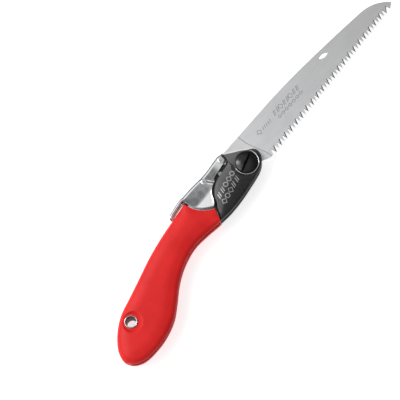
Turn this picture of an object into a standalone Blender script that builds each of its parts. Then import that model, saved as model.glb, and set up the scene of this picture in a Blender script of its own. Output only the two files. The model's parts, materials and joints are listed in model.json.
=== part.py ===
"""Folding Japanese pull saw: a toothed blade that folds into the belly slot of a rubber-covered handle.

The saw lies open on its left side. +X runs along the blade to the tip, +Y towards the blade's spine and
+Z up, out of the saw's right side. The blade turns about the vertical line through the origin, and the
origin is on the outer face of the pivot nut, level with the grip's underside.
Lengths are in millimetres and become metres where a mesh is made. Heights are counted from the middle
plane of the blade, and SIDE_RIGHT and SIDE_LEFT mirror a piece from one side of it to the other.
"""

import math

import bmesh
import bpy
from mathutils import Matrix, Vector

MM = 0.001
SIDE_RIGHT = 1
SIDE_LEFT = -1
CLEARANCE = 0.3  # between pieces that touch on the real saw

# Thickness of the layers, from the blade outwards
GRIP_HALF = 10.0
BLADE_HALF = 0.6
WASHER_IN = 0.85
WASHER_OUT = 1.95
PLATE_IN = 2.25
PLATE_OUT = 3.85
COVER_IN = 4.15
LIP_IN = 2.35
MIDDLE = GRIP_HALF  # height of the middle plane above the surface that the saw lies on

# Pivot
SHANK_RADIUS = 3.8
WASHER_RADIUS = 9.4
HEAD_RADIUS = 9.7
HEAD_LOW = 5.35
HEAD_EDGE = 6.5
HEAD_TOP = 8.9
HUB_RADIUS = 7.2
SLOT_WIDTH = 1.9
SLOT_DEPTH = 2.3
SLOT_ANGLE = math.radians(17)
RECESS_RADIUS = 11.2
RECESS_FLOOR = 5.0
RING_WIDTH = 0.9
RING_TOP = 6.5
SHANK_END = -7.6
THREAD_END = -8.2
RING_START = math.radians(163)
RING_END = math.radians(383)
NUT_FLANGE_RADIUS = 8.7
NUT_FLANGE_TOP = 5.1
NUT_FLANGE_LOW = 6.6
NUT_HEX_RADIUS = 7.5

# Blade, with the cutting edge from the heel notch to the tip corner
TOOTH_PITCH = 3.75
TOOTH_COUNT = 43
TOOTH_DEPTH = 5.0
TOOTH_LEAN = 1.15
TOOTH_FLAT = 0.25
FIRST_TOOTH = Vector((24.6, -12.6))
EDGE_RISE = 0.0473
TIP = Vector((192.6, -1.6))
TIP_CORNER = Vector((187.3, -4.9))
FOLD_ANGLE = math.radians(-169.5)
TANG_RADIUS = 19.05
TANG_RIM_END = math.radians(228)
SPINE_END = Vector((-6.4, 21.2))
SECOND_NOTCH = math.radians(20)
NOTCH_CLEARANCE = 0.35
NAIL_HOLE = Vector((116.5, 12.0))
NAIL_HOLE_SIZE = Vector((9.6, 3.2))
NAIL_HOLE_ANGLE = math.radians(-12)

# Lock lever and its pin, with the lever held pressed as when a thumb frees the blade
LEVER_PIVOT = Vector((-36.0, 16.0))
LEVER_TRAVEL = math.radians(-5.5)
LOCK_PIN = Vector((-12.2, 17.5))
LOCK_PIN_RADIUS = 1.9
LEVER_PIN_RADIUS = 1.7
LEVER_SHEET = 1.1
LEVER_BEND = 4.2
ARM_HALF = 5.3
WING_HALF = 6.1
WING_FLARE = 0.2
WING_FLARE_TOP = 6.5
WING_RADIUS = 23.8
SPRING_WIRE = 0.5
SPRING_RADIUS = 2.8
SPRING_TURNS = 2

# Frame and handle
GRIP_ARC_RADIUS = 25.0
GRIP_ROUNDING = 6.5
SLOT_HALF = 2.35
STOP_PIN = Vector((-7.9, 19.0))
STOP_PIN_RADIUS = 0.9
CLOSED_STOP = Vector((-21.4, 10.6))
CLOSED_STOP_RADIUS = 1.8
RIVET_RADIUS = 1.9
FRAME_RIVETS = {
    "frame_rivet_front": Vector((-52.0, 8.3)),
    "frame_rivet_middle": Vector((-78.0, 3.9)),
    "frame_rivet_rear": Vector((-102.0, -1.2)),
}
COVER_FRONT_X = 14.0
COVER_FRONT_HALF = 7.5
COVER_SWELL = 0.029  # how much thicker each cover grows per millimetre towards the grip
HANG_HOLE = Vector((-165.1, -16.0))
HANG_HOLE_RADIUS = 4.4
EYELET_TUBE_RADIUS = 5.0
EYELET_FLANGE_RADIUS = 5.9
EYELET_FLANGE_TOP = 9.1
DISH_RADIUS = 7.4
DISH_FLOOR = 8.2


# ---------------------------------------------------------------- shapes in the plane of the blade


def turned_about(point, centre, angle):
    return centre + Matrix.Rotation(angle, 2) @ (point - centre)


def smooth(points, steps=4):
    """A smooth curve through the points, with the given steps between each two."""
    points = [Vector(point) for point in points]
    knots = [0.0]
    for before, after in zip(points, points[1:]):
        knots.append(knots[-1] + (after - before).length)
    tangents = []
    for i in range(len(points)):
        low = max(i - 1, 0)
        high = min(i + 1, len(points) - 1)
        tangents.append((points[high] - points[low]) / (knots[high] - knots[low]))
    curve = []
    for i in range(len(points) - 1):
        span = knots[i + 1] - knots[i]
        for step in range(steps):
            t = step / steps
            start = (1 + 2 * t) * (1 - t) ** 2 * points[i] + t * (1 - t) ** 2 * span * tangents[i]
            end = t * t * (3 - 2 * t) * points[i + 1] + t * t * (t - 1) * span * tangents[i + 1]
            curve.append(start + end)
    curve.append(points[-1])
    return curve


def arc(centre, radius, start, end, steps):
    centre = Vector(centre)
    angles = [start + (end - start) * i / steps for i in range(steps + 1)]
    return [centre + radius * Vector((math.cos(a), math.sin(a))) for a in angles]


def join(*runs):
    """One closed outline from runs of points, without points that repeat where two runs meet."""
    outline = []
    for run in runs:
        for point in run:
            point = Vector(point)
            if not outline or (point - outline[-1]).length > 0.02:
                outline.append(point)
    if (outline[0] - outline[-1]).length <= 0.02:
        outline.pop()
    return outline


def corner_normals(outline):
    """At each point, the outward direction that moves both of its sides out by one."""
    area = sum(a.cross(b) for a, b in zip(outline, outline[1:] + outline[:1]))
    turn = 1 if area > 0 else -1
    normals = []
    for i, point in enumerate(outline):
        back = (point - outline[i - 1]).normalized()
        ahead = (outline[(i + 1) % len(outline)] - point).normalized()
        first = Vector((back.y, -back.x)) * turn
        second = Vector((ahead.y, -ahead.x)) * turn
        middle = (first + second).normalized()
        normals.append(middle / max(middle.dot(first), 0.5))
    return normals


def grown(outline, distance):
    return [p + n * distance for p, n in zip(outline, corner_normals(outline))]


# ---------------------------------------------------------------- solids


def new_object(name, vertices, faces, material=None):
    """An object from points in millimetres about the middle plane, with its faces turned outwards."""
    mesh = bpy.data.meshes.new(name)
    mesh.from_pydata([(v[0] * MM, v[1] * MM, (v[2] + MIDDLE) * MM) for v in vertices], [], faces)
    shape = bmesh.new()
    shape.from_mesh(mesh)
    bmesh.ops.recalc_face_normals(shape, faces=shape.faces)
    shape.to_mesh(mesh)
    shape.free()
    thing = bpy.data.objects.new(name, mesh)
    bpy.context.scene.collection.objects.link(thing)
    if material:
        mesh.materials.append(material)
    return thing


def stacked(name, loops, material=None):
    """A solid from closed loops of equal length, one above the next, with a flat cap at each end."""
    count = len(loops[0])
    vertices = [vertex for loop in loops for vertex in loop]
    faces = [tuple(range(count)), tuple(reversed(range(len(vertices) - count, len(vertices))))]
    for level in range(len(loops) - 1):
        for i in range(count):
            j = (i + 1) % count
            low = level * count
            high = low + count
            faces.append((low + j, low + i, high + i, high + j))
    return new_object(name, vertices, faces, material)


def slab(name, outline, low, high, material=None):
    levels = sorted((low, high))
    return stacked(name, [[(p.x, p.y, z) for p in outline] for z in levels], material)


def lathe(name, centre, profile, steps, material=None):
    """A solid turned about the vertical line through centre; a profile point is (radius, height)."""
    vertices = []
    rings = []
    for radius, height in profile:
        if radius < 1e-6:
            rings.append([len(vertices)] * steps)
            vertices.append((centre.x, centre.y, height))
            continue
        rings.append(list(range(len(vertices), len(vertices) + steps)))
        for i in range(steps):
            angle = math.tau * i / steps
            vertices.append(
                (centre.x + radius * math.cos(angle), centre.y + radius * math.sin(angle), height)
            )
    faces = []
    for ring, following in zip(rings, rings[1:] + rings[:1]):
        for i in range(steps):
            j = (i + 1) % steps
            corners = []
            for vertex in (ring[i], ring[j], following[j], following[i]):
                if vertex not in corners:
                    corners.append(vertex)
            if len(corners) > 2:
                faces.append(tuple(corners))
    return new_object(name, vertices, faces, material)


def rod(name, centre, radius, low, high, material=None, steps=24):
    return lathe(name, centre, [(0, low), (radius, low), (radius, high), (0, high)], steps, material)


def washer(name, inner, outer, low, high, material, steps=40):
    profile = [(inner, low), (outer, low), (outer, high), (inner, high)]
    return lathe(name, Vector((0, 0)), profile, steps, material)


def cut(thing, cutter):
    """Takes the cutter away from the thing."""
    cutter.hide_render = True
    cutter.display_type = "WIRE"
    boolean = thing.modifiers.new("cut_" + cutter.name, "BOOLEAN")
    boolean.operation = "DIFFERENCE"
    boolean.object = cutter


def round_shade(thing, angle=math.radians(32)):
    thing.data.shade_smooth()
    thing.data.set_sharp_from_angle(angle=angle)


def finish(name, colour, roughness, metallic=0.0):
    material = bpy.data.materials.new(name)
    material.use_nodes = True
    shader = material.node_tree.nodes["Principled BSDF"]
    shader.inputs["Base Color"].default_value = (*colour, 1)
    shader.inputs["Roughness"].default_value = roughness
    shader.inputs["Metallic"].default_value = metallic
    material.diffuse_color = (*colour, 1)
    return material


def hinge(name, point):
    """An empty on a joint's axis, which the moving pieces hang from."""
    empty = bpy.data.objects.new(name, None)
    empty.empty_display_size = 10 * MM
    empty.location = (point.x * MM, point.y * MM, MIDDLE * MM)
    bpy.context.scene.collection.objects.link(empty)
    return empty


def hang(thing, empty):
    """Moves the thing's origin onto the hinge and parents it there, without moving its shape."""
    thing.data.transform(Matrix.Translation(-empty.location))
    thing.parent = empty


# ---------------------------------------------------------------- blade


def folded(point):
    return turned_about(Vector(point), Vector((0, 0)), FOLD_ANGLE)


def tooth_tip(index):
    x = index * TOOTH_PITCH
    return FIRST_TOOTH + Vector((x, x * EDGE_RISE))


def locked_pin():
    return turned_about(LOCK_PIN, LEVER_PIVOT, LEVER_TRAVEL)


def bearing(point):
    return math.atan2(point.y, point.x) % math.tau


def notch(turn):
    """The round notch that the locked pin fills, as points in order around the tang's rim."""
    pin = locked_pin()
    radius = LOCK_PIN_RADIUS + NOTCH_CLEARANCE
    reach = math.acos((pin.length**2 + radius**2 - TANG_RADIUS**2) / (2 * pin.length * radius))
    inward = bearing(-pin)
    points = arc(pin, radius, inward + reach, inward - reach, 8)
    return [turned_about(p, Vector((0, 0)), turn) for p in points]


def tang_rim():
    """The round back of the tang from the spine corner, with two open positions for the lock pin."""
    start = math.acos(SPINE_END.x / TANG_RADIUS)
    first = notch(0.0)
    second = notch(SECOND_NOTCH)

    origin = (0, 0)
    return join(
        arc(origin, TANG_RADIUS, start, bearing(first[0]), 3),
        first,
        arc(origin, TANG_RADIUS, bearing(first[-1]), bearing(second[0]), 2),
        second,
        arc(origin, TANG_RADIUS, bearing(second[-1]), TANG_RIM_END, 12),
    )


def blade_outline():
    rim_end = TANG_RADIUS * Vector((math.cos(TANG_RIM_END), math.sin(TANG_RIM_END)))
    nose = [TIP, (189.4, 2.3), (184.6, 6.4), (179.4, 9.4), (173.8, 11.4), (168.0, 12.5)]
    spine = [(163.0, 13.1), (136.5, 15.9), (109.7, 18.3), (83.2, 20.2), (57.0, 21.1), (30.0, 21.2)]
    under_tang = [rim_end * 0.86, (-5.0, -11.2), (2.0, -9.2), (8.0, -7.9), (12.0, -8.8)]
    heel = [(12.0, -8.8), (16.2, -11.0), (19.0, -11.9), (21.0, -11.3), (22.2, -8.6)]
    teeth = []
    for index in range(TOOTH_COUNT):
        tip = tooth_tip(index)
        teeth.append(tip)
        teeth.append(tip + Vector((TOOTH_FLAT, 0.05)))
        gullet = tip + Vector((TOOTH_LEAN + TOOTH_PITCH / 2, TOOTH_DEPTH))
        teeth.append(gullet + Vector((-0.15, 0)))
        teeth.append(gullet + Vector((0.2, -0.1)))
    teeth = teeth[:-2]
    last_gullet = TIP_CORNER + Vector((-0.6, TOOTH_DEPTH - 1.0))
    return join(
        smooth(nose + spine, 3),
        [SPINE_END],
        tang_rim(),
        smooth(under_tang, 3),
        smooth(heel, 3),
        [(23.6, -7.6)],
        teeth,
        [last_gullet, TIP_CORNER],
    )


def lens(centre, size, angle, steps=8):
    """The pointed oval between two arcs, which a fingernail opens the folded saw by."""
    half = size.x / 2
    rise = size.y / 2
    radius = (half * half + rise * rise) / (2 * rise)
    reach = math.asin(half / radius)
    middle = math.pi / 2
    upper = arc((0, rise - radius), radius, middle - reach, middle + reach, steps)
    lower = arc((0, radius - rise), radius, -middle - reach, -middle + reach, steps)
    return [centre + Matrix.Rotation(angle, 2) @ point for point in join(upper, lower)]


def make_blade(material):
    blade = slab("blade", blade_outline(), -BLADE_HALF, BLADE_HALF, material)
    cut(blade, rod("cutter_blade_pivot", Vector((0, 0)), SHANK_RADIUS + 0.3, -3, 3, steps=40))
    cut(blade, slab("cutter_nail_hole", lens(NAIL_HOLE, NAIL_HOLE_SIZE, NAIL_HOLE_ANGLE), -3, 3))
    return blade


# ---------------------------------------------------------------- frame


def plate_outline():
    pin = locked_pin()
    slot_half = LOCK_PIN_RADIUS + CLEARANCE
    slot_top = 17.1
    front = [(-6.2, 20.7), (-0.5, 16.2), (5.4, 11.8), (9.0, 8.6), (12.2, 5.0), (13.3, 2.4)]
    tuck = [(13.3, 2.4), (12.6, 0.2), (10.6, -2.8), (7.6, -6.0), (3.2, -8.6), (-3.0, -10.6)]
    belly = [(-15.4, -12.7), (-28.0, -14.1), (-41.0, -14.2), (-52.5, -13.4), (-70.0, -10.9)]
    rear_belly = [(-81.0, -10.1), (-91.0, -11.3), (-103.0, -14.9), (-111.0, -18.4)]
    rear = [(-113.4, -17.0), (-113.4, -6.0), (-110.0, 3.4)]
    back = [(-110.0, 3.4), (-95.0, 8.2), (-75.0, 11.0), (-63.0, 12.4)]
    return join(
        smooth(front, 3),
        smooth(tuck + belly + rear_belly, 2),
        rear,
        smooth(back, 2),
        [(-59.6, 13.4), (-57.6, 17.6), (-40.0, 17.8), (-34.0, slot_top), (LOCK_PIN.x - slot_half, slot_top)],
        arc(pin, slot_half, math.pi, math.tau, 8),
        [(pin.x + slot_half, 20.6), (-9.2, 21.5), (-7.6, 21.5)],
    )


def plate_holes():
    holes = [rod("cutter_frame_pivot", Vector((0, 0)), SHANK_RADIUS + CLEARANCE, -9, 9, steps=40)]
    pins = {
        "cutter_stop_pin": (STOP_PIN, STOP_PIN_RADIUS),
        "cutter_closed_stop": (CLOSED_STOP, CLOSED_STOP_RADIUS),
        "cutter_lever_pin": (LEVER_PIVOT, LEVER_PIN_RADIUS),
    }
    for name, centre in FRAME_RIVETS.items():
        pins["cutter_" + name] = (centre, RIVET_RADIUS)
    for name, (centre, radius) in pins.items():
        holes.append(rod(name, centre, radius + CLEARANCE, -9, 9))
    return holes


def make_frame(chrome, steel, spacer_material):
    holes = plate_holes()
    for name, side in (("frame_plate_right", SIDE_RIGHT), ("frame_plate_left", SIDE_LEFT)):
        plate = slab(name, plate_outline(), side * PLATE_IN, side * PLATE_OUT, chrome)
        for hole in holes:
            cut(plate, hole)
    front_x = -46.0
    rear_x = -109.5
    edge_start = folded(tooth_tip(0))
    edge_end = folded(tooth_tip(TOOTH_COUNT))
    slope = (edge_end.y - edge_start.y) / (edge_end.x - edge_start.x)
    above_teeth = 2.2

    def under(x):
        return (x, edge_start.y + slope * (x - edge_start.x) + above_teeth)

    top = smooth([(rear_x, 3.0), (-95.0, 7.6), (-75.0, 10.4), (-58.0, 12.4), (front_x, 12.6)], 3)
    outline = join([under(front_x), under(rear_x)], top)
    half = PLATE_IN - CLEARANCE
    spacer = slab("frame_spacer", outline, -half, half, spacer_material)
    for hole in holes:
        if "rivet" in hole.name:
            cut(spacer, hole)
    for name, centre in FRAME_RIVETS.items():
        round_shade(rod(name, centre, RIVET_RADIUS, -PLATE_OUT, PLATE_OUT, steel))
    round_shade(rod("open_stop_pin", STOP_PIN, STOP_PIN_RADIUS, -PLATE_OUT, PLATE_OUT, steel))
    round_shade(rod("closed_stop_pin", CLOSED_STOP, CLOSED_STOP_RADIUS, -PLATE_OUT, PLATE_OUT, steel))


# ---------------------------------------------------------------- front covers


def cover_outline():
    belly = [(-52.4, -16.6), (-41.0, -17.6), (-28.0, -17.3), (-15.3, -15.9), (-2.2, -13.8), (4.9, -11.8)]
    front = [(9.9, -8.7), (13.2, -4.3), (COVER_FRONT_X + 0.3, 0.2), (12.6, 3.7), (8.2, 7.2)]
    slope = [(8.2, 7.2), (4.4, 10.6), (-1.5, 14.9), (-7.2, 19.2)]
    lever_gap = [(-8.2, 14.6), (-10.2, 11.8), (-18.8, 10.3), (-27.4, 8.9)]
    lever_side = [(-31.7, 7.5), (-36.0, 5.0), (-40.4, 1.2), (-43.9, -3.6), (-46.6, -6.2)]
    return join(
        smooth(belly + front, 3),
        smooth(slope, 2),
        smooth(lever_gap + lever_side, 2),
        [(-49.3, -10.8)],
    )


def cover_height(x):
    return COVER_FRONT_HALF + COVER_SWELL * (COVER_FRONT_X - x)


def recess_outline():
    """The round seat of the bolt head, open along the ramp at the front of the cover."""
    angle = math.radians(142)
    circle = arc((0, 0), RECESS_RADIUS, angle, math.radians(375), 40)
    return join(circle, [(20.0, 6.0), (4.0, 26.0), (-13.2, 26.0), (-12.6, 12.0)])


def make_cover(name, side, material):
    outline = cover_outline()
    rounding = 1.9
    loops = []
    for inset, drop in ((0.0, None), (0.0, rounding), (0.4 * rounding, 0.4 * rounding), (rounding, 0.0)):
        loop = []
        for point in grown(outline, -inset):
            z = LIP_IN if drop is None else cover_height(point.x) - drop
            loop.append((point.x, point.y, side * z))
        loops.append(loop)
    cover = stacked(name, loops, material)
    inner = slab(
        "cutter_plate_bed_" + name,
        grown(plate_outline(), 0.4),
        side * (LIP_IN - 1),
        side * COVER_IN,
    )
    cut(cover, inner)
    if side == SIDE_RIGHT:
        cut(cover, slab("cutter_recess", recess_outline(), RECESS_FLOOR, 20))
        hole_radius = HUB_RADIUS + CLEARANCE
    else:
        hole_radius = NUT_FLANGE_RADIUS + CLEARANCE
    cut(cover, rod("cutter_bolt_" + name, Vector((0, 0)), hole_radius, -20, 20, steps=48))
    round_shade(cover)


# ---------------------------------------------------------------- grip


def grip_outline():
    """Points of the grip's side view, each with how far its edge is rounded off."""
    belly = [(-52.7, -16.9), (-57.6, -16.4), (-70.1, -14.6), (-80.9, -13.8), (-90.9, -15.1)]
    palm = [(-103.4, -18.8), (-116.0, -25.1), (-128.5, -33.6), (-141.0, -41.0), (-156.0, -45.3)]
    tail = [(-169.5, -46.2), (-181.5, -44.8), (-189.4, -40.2), (-193.0, -33.0), (-190.3, -24.3)]
    heel = [(-183.0, -16.0), (-174.0, -9.4), (-164.3, -4.7), (-148.0, -0.4), (-131.4, 4.1)]
    first_angle = math.radians(178.5)
    last_angle = math.radians(243.4)
    front_arc = arc(LEVER_PIVOT, GRIP_ARC_RADIUS, first_angle, last_angle, 14)
    back = [(-115.0, 8.6), (-95.0, 12.5), (-75.0, 15.0), front_arc[0]]
    rounded = smooth(belly + palm + tail + heel + back, 2)
    cover_side = [(-49.9, -11.0)]
    outline = join(rounded, front_arc, cover_side)
    edge_fade = 9.0
    roundings = []
    for point in outline:
        from_cover = (point - Vector(belly[0])).length
        from_lever = (point - Vector(back[-1])).length
        fade = min(1.0, min(from_cover, from_lever) / edge_fade)
        on_front = (point - LEVER_PIVOT).length < GRIP_ARC_RADIUS + 0.05 or point == outline[-1]
        roundings.append(1.2 if on_front else 1.2 + (GRIP_ROUNDING - 1.2) * fade)
    return outline, roundings


def blade_slot_outline():
    """The slot's side view: everything below a line just past the folded teeth."""
    past_teeth = Vector((0, -1.2))
    start = folded(Vector((18, tooth_tip(0).y - 0.3)) + past_teeth)
    corner = folded(TIP_CORNER + past_teeth)
    end = folded(TIP + Vector((0.9, -0.9)))
    floor = -60
    return [start, corner, end, Vector((end.x, floor)), Vector((start.x, floor))]


def make_grip(material):
    outline, roundings = grip_outline()
    normals = corner_normals(outline)
    straight = 2.6
    steps = 5
    halves = []
    for step in range(steps + 1):
        angle = math.pi / 2 * step / steps
        z = straight + (GRIP_HALF - straight) * math.sin(angle)
        halves.append((z, 1 - math.cos(angle)))
    levels = [(-z, inset) for z, inset in reversed(halves)] + halves
    loops = []
    for z, inset in levels:
        loops.append([(*(p - n * r * inset), z) for p, n, r in zip(outline, normals, roundings)])
    grip = stacked("grip", loops, material)
    bed = slab("cutter_frame_bed", grown(plate_outline(), 0.4), -COVER_IN, COVER_IN)
    cut(grip, bed)
    cut(grip, slab("cutter_blade_slot", blade_slot_outline(), -SLOT_HALF, SLOT_HALF))
    rim = DISH_RADIUS + 1.6
    bore = EYELET_TUBE_RADIUS + CLEARANCE
    over = GRIP_HALF + 0.4
    half_profile = [(bore, DISH_FLOOR), (DISH_RADIUS, DISH_FLOOR), (rim, over), (0, over)]
    profile = [(r, -z) for r, z in reversed(half_profile)] + half_profile
    cut(grip, lathe("cutter_hang_hole", HANG_HOLE, profile, 32))
    round_shade(grip)


def make_eyelet(material):
    low = DISH_FLOOR + CLEARANCE
    lip = 0.5
    profile = [
        (HANG_HOLE_RADIUS, -EYELET_FLANGE_TOP + lip),
        (HANG_HOLE_RADIUS + lip, -EYELET_FLANGE_TOP),
        (EYELET_FLANGE_RADIUS - lip / 2, -EYELET_FLANGE_TOP),
        (EYELET_FLANGE_RADIUS, -low),
        (EYELET_TUBE_RADIUS, -low),
        (EYELET_TUBE_RADIUS, low),
        (EYELET_FLANGE_RADIUS, low),
        (EYELET_FLANGE_RADIUS - lip / 2, EYELET_FLANGE_TOP),
        (HANG_HOLE_RADIUS + lip, EYELET_FLANGE_TOP),
        (HANG_HOLE_RADIUS, EYELET_FLANGE_TOP - lip),
    ]
    round_shade(lathe("hang_hole_eyelet", HANG_HOLE, profile, 32, material))


# ---------------------------------------------------------------- pivot hardware


def make_bolt(material):
    dome_radius = (HEAD_RADIUS**2 + (HEAD_TOP - HEAD_EDGE) ** 2) / (2 * (HEAD_TOP - HEAD_EDGE))
    dome_centre = HEAD_TOP - dome_radius
    reach = math.asin(HEAD_RADIUS / dome_radius)
    dome = []
    for step in range(6):
        angle = reach * (1 - step / 6)
        dome.append((dome_radius * math.sin(angle), dome_centre + dome_radius * math.cos(angle)))
    seat = COVER_IN
    profile = [(0, SHANK_END), (SHANK_RADIUS, SHANK_END), (SHANK_RADIUS, seat), (HUB_RADIUS, seat)]
    profile += [(HUB_RADIUS, HEAD_LOW), (HEAD_RADIUS, HEAD_LOW)] + dome + [(0, HEAD_TOP)]
    bolt = lathe("pivot_bolt", Vector((0, 0)), profile, 48, material)
    along = Vector((math.cos(SLOT_ANGLE), math.sin(SLOT_ANGLE)))
    across = Vector((-along.y, along.x))
    length = 2.4 * HEAD_RADIUS
    corners = [(-1, -1), (1, -1), (1, 1), (-1, 1)]
    outline = [along * length / 2 * u + across * SLOT_WIDTH / 2 * v for u, v in corners]
    cut(bolt, slab("cutter_driver_slot", outline, HEAD_TOP - SLOT_DEPTH, HEAD_TOP + 2))
    round_shade(bolt)


def make_nut(material):
    """A closed hexagon nut with a flange; its outer face is the flat that the saw rests on."""
    flange = lathe(
        "pivot_nut",
        Vector((0, 0)),
        [
            (0, -NUT_FLANGE_LOW - 0.5),
            (NUT_HEX_RADIUS - 0.9, -NUT_FLANGE_LOW - 0.5),
            (NUT_FLANGE_RADIUS, -NUT_FLANGE_LOW),
            (NUT_FLANGE_RADIUS, -NUT_FLANGE_TOP),
            (0, -NUT_FLANGE_TOP),
        ],
        48,
        material,
    )
    hexagon = arc((0, 0), NUT_HEX_RADIUS, 0, math.tau * 5 / 6, 5)
    bevel = 0.6
    loops = []
    for inset, z in ((bevel, -GRIP_HALF), (0, -GRIP_HALF + bevel), (0, -NUT_FLANGE_TOP - 0.4)):
        shrink = 1 - inset / NUT_HEX_RADIUS
        loops.append([(p.x * shrink, p.y * shrink, z) for p in hexagon])
    body = stacked("adder_nut_hexagon", loops)
    body.hide_render = True
    body.display_type = "WIRE"
    union = flange.modifiers.new("hexagon", "BOOLEAN")
    union.operation = "UNION"
    union.object = body
    thread = rod("cutter_nut_thread", Vector((0, 0)), SHANK_RADIUS + CLEARANCE, THREAD_END, 0, steps=32)
    cut(flange, thread)


def make_pivot(black_metal, steel, bronze):
    make_bolt(black_metal)
    make_nut(black_metal)
    inner = SHANK_RADIUS + CLEARANCE
    washer("bearing_washer_right", inner, WASHER_RADIUS, WASHER_IN, WASHER_OUT, bronze)
    washer("bearing_washer_left", inner, WASHER_RADIUS, -WASHER_OUT, -WASHER_IN, bronze)
    washer("spring_washer", inner, HUB_RADIUS, -4.8, -COVER_IN, steel)
    make_seat_ring(steel)


def make_seat_ring(steel):
    """A bright ring that lines the wall of the bolt's recess, open where the recess is open."""
    ring_outer = RECESS_RADIUS - 0.2
    ring_inner = ring_outer - RING_WIDTH
    ring_low = RECESS_FLOOR + CLEARANCE
    profile = [
        (ring_inner, ring_low),
        (ring_outer, ring_low),
        (ring_outer, RING_TOP - 0.3),
        (ring_outer - RING_WIDTH / 2, RING_TOP),
        (ring_inner, RING_TOP - 0.7),
    ]
    ring = lathe("bolt_seat_ring", Vector((0, 0)), profile, 56, steel)
    reach = 2 * RECESS_RADIUS
    turns = [RING_END - math.tau, (RING_START + RING_END - math.tau) / 2, RING_START]
    opening = [Vector((0, 0))] + [reach * Vector((math.cos(turn), math.sin(turn))) for turn in turns]
    cut(ring, slab("cutter_ring_opening", opening, HEAD_LOW - 1, RING_TOP + 1))
    round_shade(ring)


# ---------------------------------------------------------------- lock lever


def ramp(value, low, high):
    t = min(max((value - low) / (high - low), 0.0), 1.0)
    return t * t * (3 - 2 * t)


def between(points, x):
    """The height at x of the straight runs through points, which are in order of falling x."""
    for (x0, y0), (x1, y1) in zip(points, points[1:]):
        if x >= x1:
            return y0 + (y1 - y0) * min(max((x - x0) / (x1 - x0), 0.0), 1.0)
    return points[-1][1]


LEVER_STATIONS = (
    [-9.6, -9.9, -10.7, -12.2, -14.3, -17.0, -20.0, -23.0, -26.0, -28.4, -29.6, -31.5, -33.5, -35.5]
    + [-37.5, -39.2, -40.8, -42.6, -44.3, -46.0, -47.6, -49.5, -51.5, -53.5, -55.3, -56.8, -58.0]
    + [-58.9, -59.5, -59.8, -60.6, -63.0, -66.0, -69.0, -72.0, -74.5, -76.5, -77.6]
)
LEVER_TOP = [
    (-9.6, 23.1),
    (-10.7, 23.5),
    (-12.2, 23.6),
    (-20.0, 22.8),
    (-27.0, 22.0),
    (-36.0, 21.9),
    (-47.0, 22.5),
    (-60.6, 22.4),
    (-69.0, 21.4),
    (-76.5, 19.9),
    (-77.6, 19.4),
]
ARM_LOW = [
    (-9.6, 16.4),
    (-9.9, 15.7),
    (-10.7, 15.1),
    (-14.3, 14.2),
    (-23.0, 12.6),
    (-28.4, 11.6),
    (-29.6, 9.9),
    (-33.5, 8.6),
    (-37.5, 6.2),
    (-40.8, 2.5),
    (-44.3, -2.3),
    (-46.0, -3.8),
    (-47.6, -4.6),
]
TAIL_FLANGE = 3.5
TAIL_BEND = 2.8


def lever_low(x):
    """The lower edge of the lever's side: arms, wing, the arc about the lever's own pin, then the tail."""
    if x >= -47.6:
        return between(ARM_LOW, x)
    if x >= -59.8:
        reach = x - LEVER_PIVOT.x
        return LEVER_PIVOT.y - math.sqrt(max(WING_RADIUS**2 - reach * reach, 0.0))
    return between(LEVER_TOP, x) - TAIL_FLANGE


def lever_half(x, y):
    """Half the outer width of the lever at a point of its side."""
    crease = -31.5 - 0.55 * (y - 9.0)
    wing = ramp(-x, -crease - 1.6, -crease + 1.6)
    flare = WING_FLARE * max(WING_FLARE_TOP - y, 0.0)
    return ARM_HALF + (WING_HALF - ARM_HALF + flare) * wing


def lever_section(x):
    """Outer and inner points of one cross-section, from the lower right edge over to the lower left."""
    top = between(LEVER_TOP, x)
    low = lever_low(x)
    bend = LEVER_BEND + (TAIL_BEND - LEVER_BEND) * ramp(-x, 57.0, 61.0)
    spring_line = top - bend
    side_steps = 6
    outer = []
    inner = []
    for step in range(side_steps):
        y = low + (spring_line - low) * step / side_steps
        half = lever_half(x, y)
        outer.append((y, half))
        inner.append((y, half - LEVER_SHEET))
    half = lever_half(x, spring_line)
    for step in range(7):
        angle = math.pi / 2 * step / 6
        for radius, points in ((bend, outer), (bend - LEVER_SHEET, inner)):
            y = spring_line + radius * math.sin(angle)
            points.append((y, half - bend + radius * math.cos(angle)))
    for points in (outer, inner):
        points += [(y, -z) for y, z in reversed(points)]
    return outer, inner


def make_lever(chrome):
    """A sheet-metal channel: front arms for the lock pin, a wing on each side, and the thumb's tail."""
    count = len(lever_section(LEVER_STATIONS[0])[0])
    vertices = []
    for x in LEVER_STATIONS:
        for points in lever_section(x):
            vertices += [(x, y, z) for y, z in points]
    rows = len(LEVER_STATIONS)

    def index(row, layer, column):
        return (row * 2 + layer) * count + column

    faces = []
    for row in range(rows - 1):
        for column in range(count - 1):
            for layer in (0, 1):
                quad = (
                    index(row, layer, column),
                    index(row + 1, layer, column),
                    index(row + 1, layer, column + 1),
                    index(row, layer, column + 1),
                )
                faces.append(quad if layer else tuple(reversed(quad)))
        for column, turn in ((0, 1), (count - 1, -1)):
            quad = (
                index(row, 0, column),
                index(row + 1, 0, column),
                index(row + 1, 1, column),
                index(row, 1, column),
            )
            faces.append(quad[::turn])
    for row, turn in ((0, 1), (rows - 1, -1)):
        for column in range(count - 1):
            quad = (
                index(row, 0, column),
                index(row, 1, column),
                index(row, 1, column + 1),
                index(row, 0, column + 1),
            )
            faces.append(quad[::-turn])
    lever = new_object("lock_lever", vertices, faces, chrome)
    web_front = -11.6
    horn_gap = [Vector(p) for p in ((web_front, 17), (web_front, 30), (0, 30), (0, 17))]
    cut(lever, slab("cutter_horn_gap", horn_gap, -4.18, 4.18))
    for name, centre, radius in (
        ("cutter_lever_pivot", LEVER_PIVOT, LEVER_PIN_RADIUS),
        ("cutter_lock_pin", LOCK_PIN, LOCK_PIN_RADIUS),
    ):
        cut(lever, rod(name, centre, radius + CLEARANCE, -20, 20))
    round_shade(lever, math.radians(40))
    return lever


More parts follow.
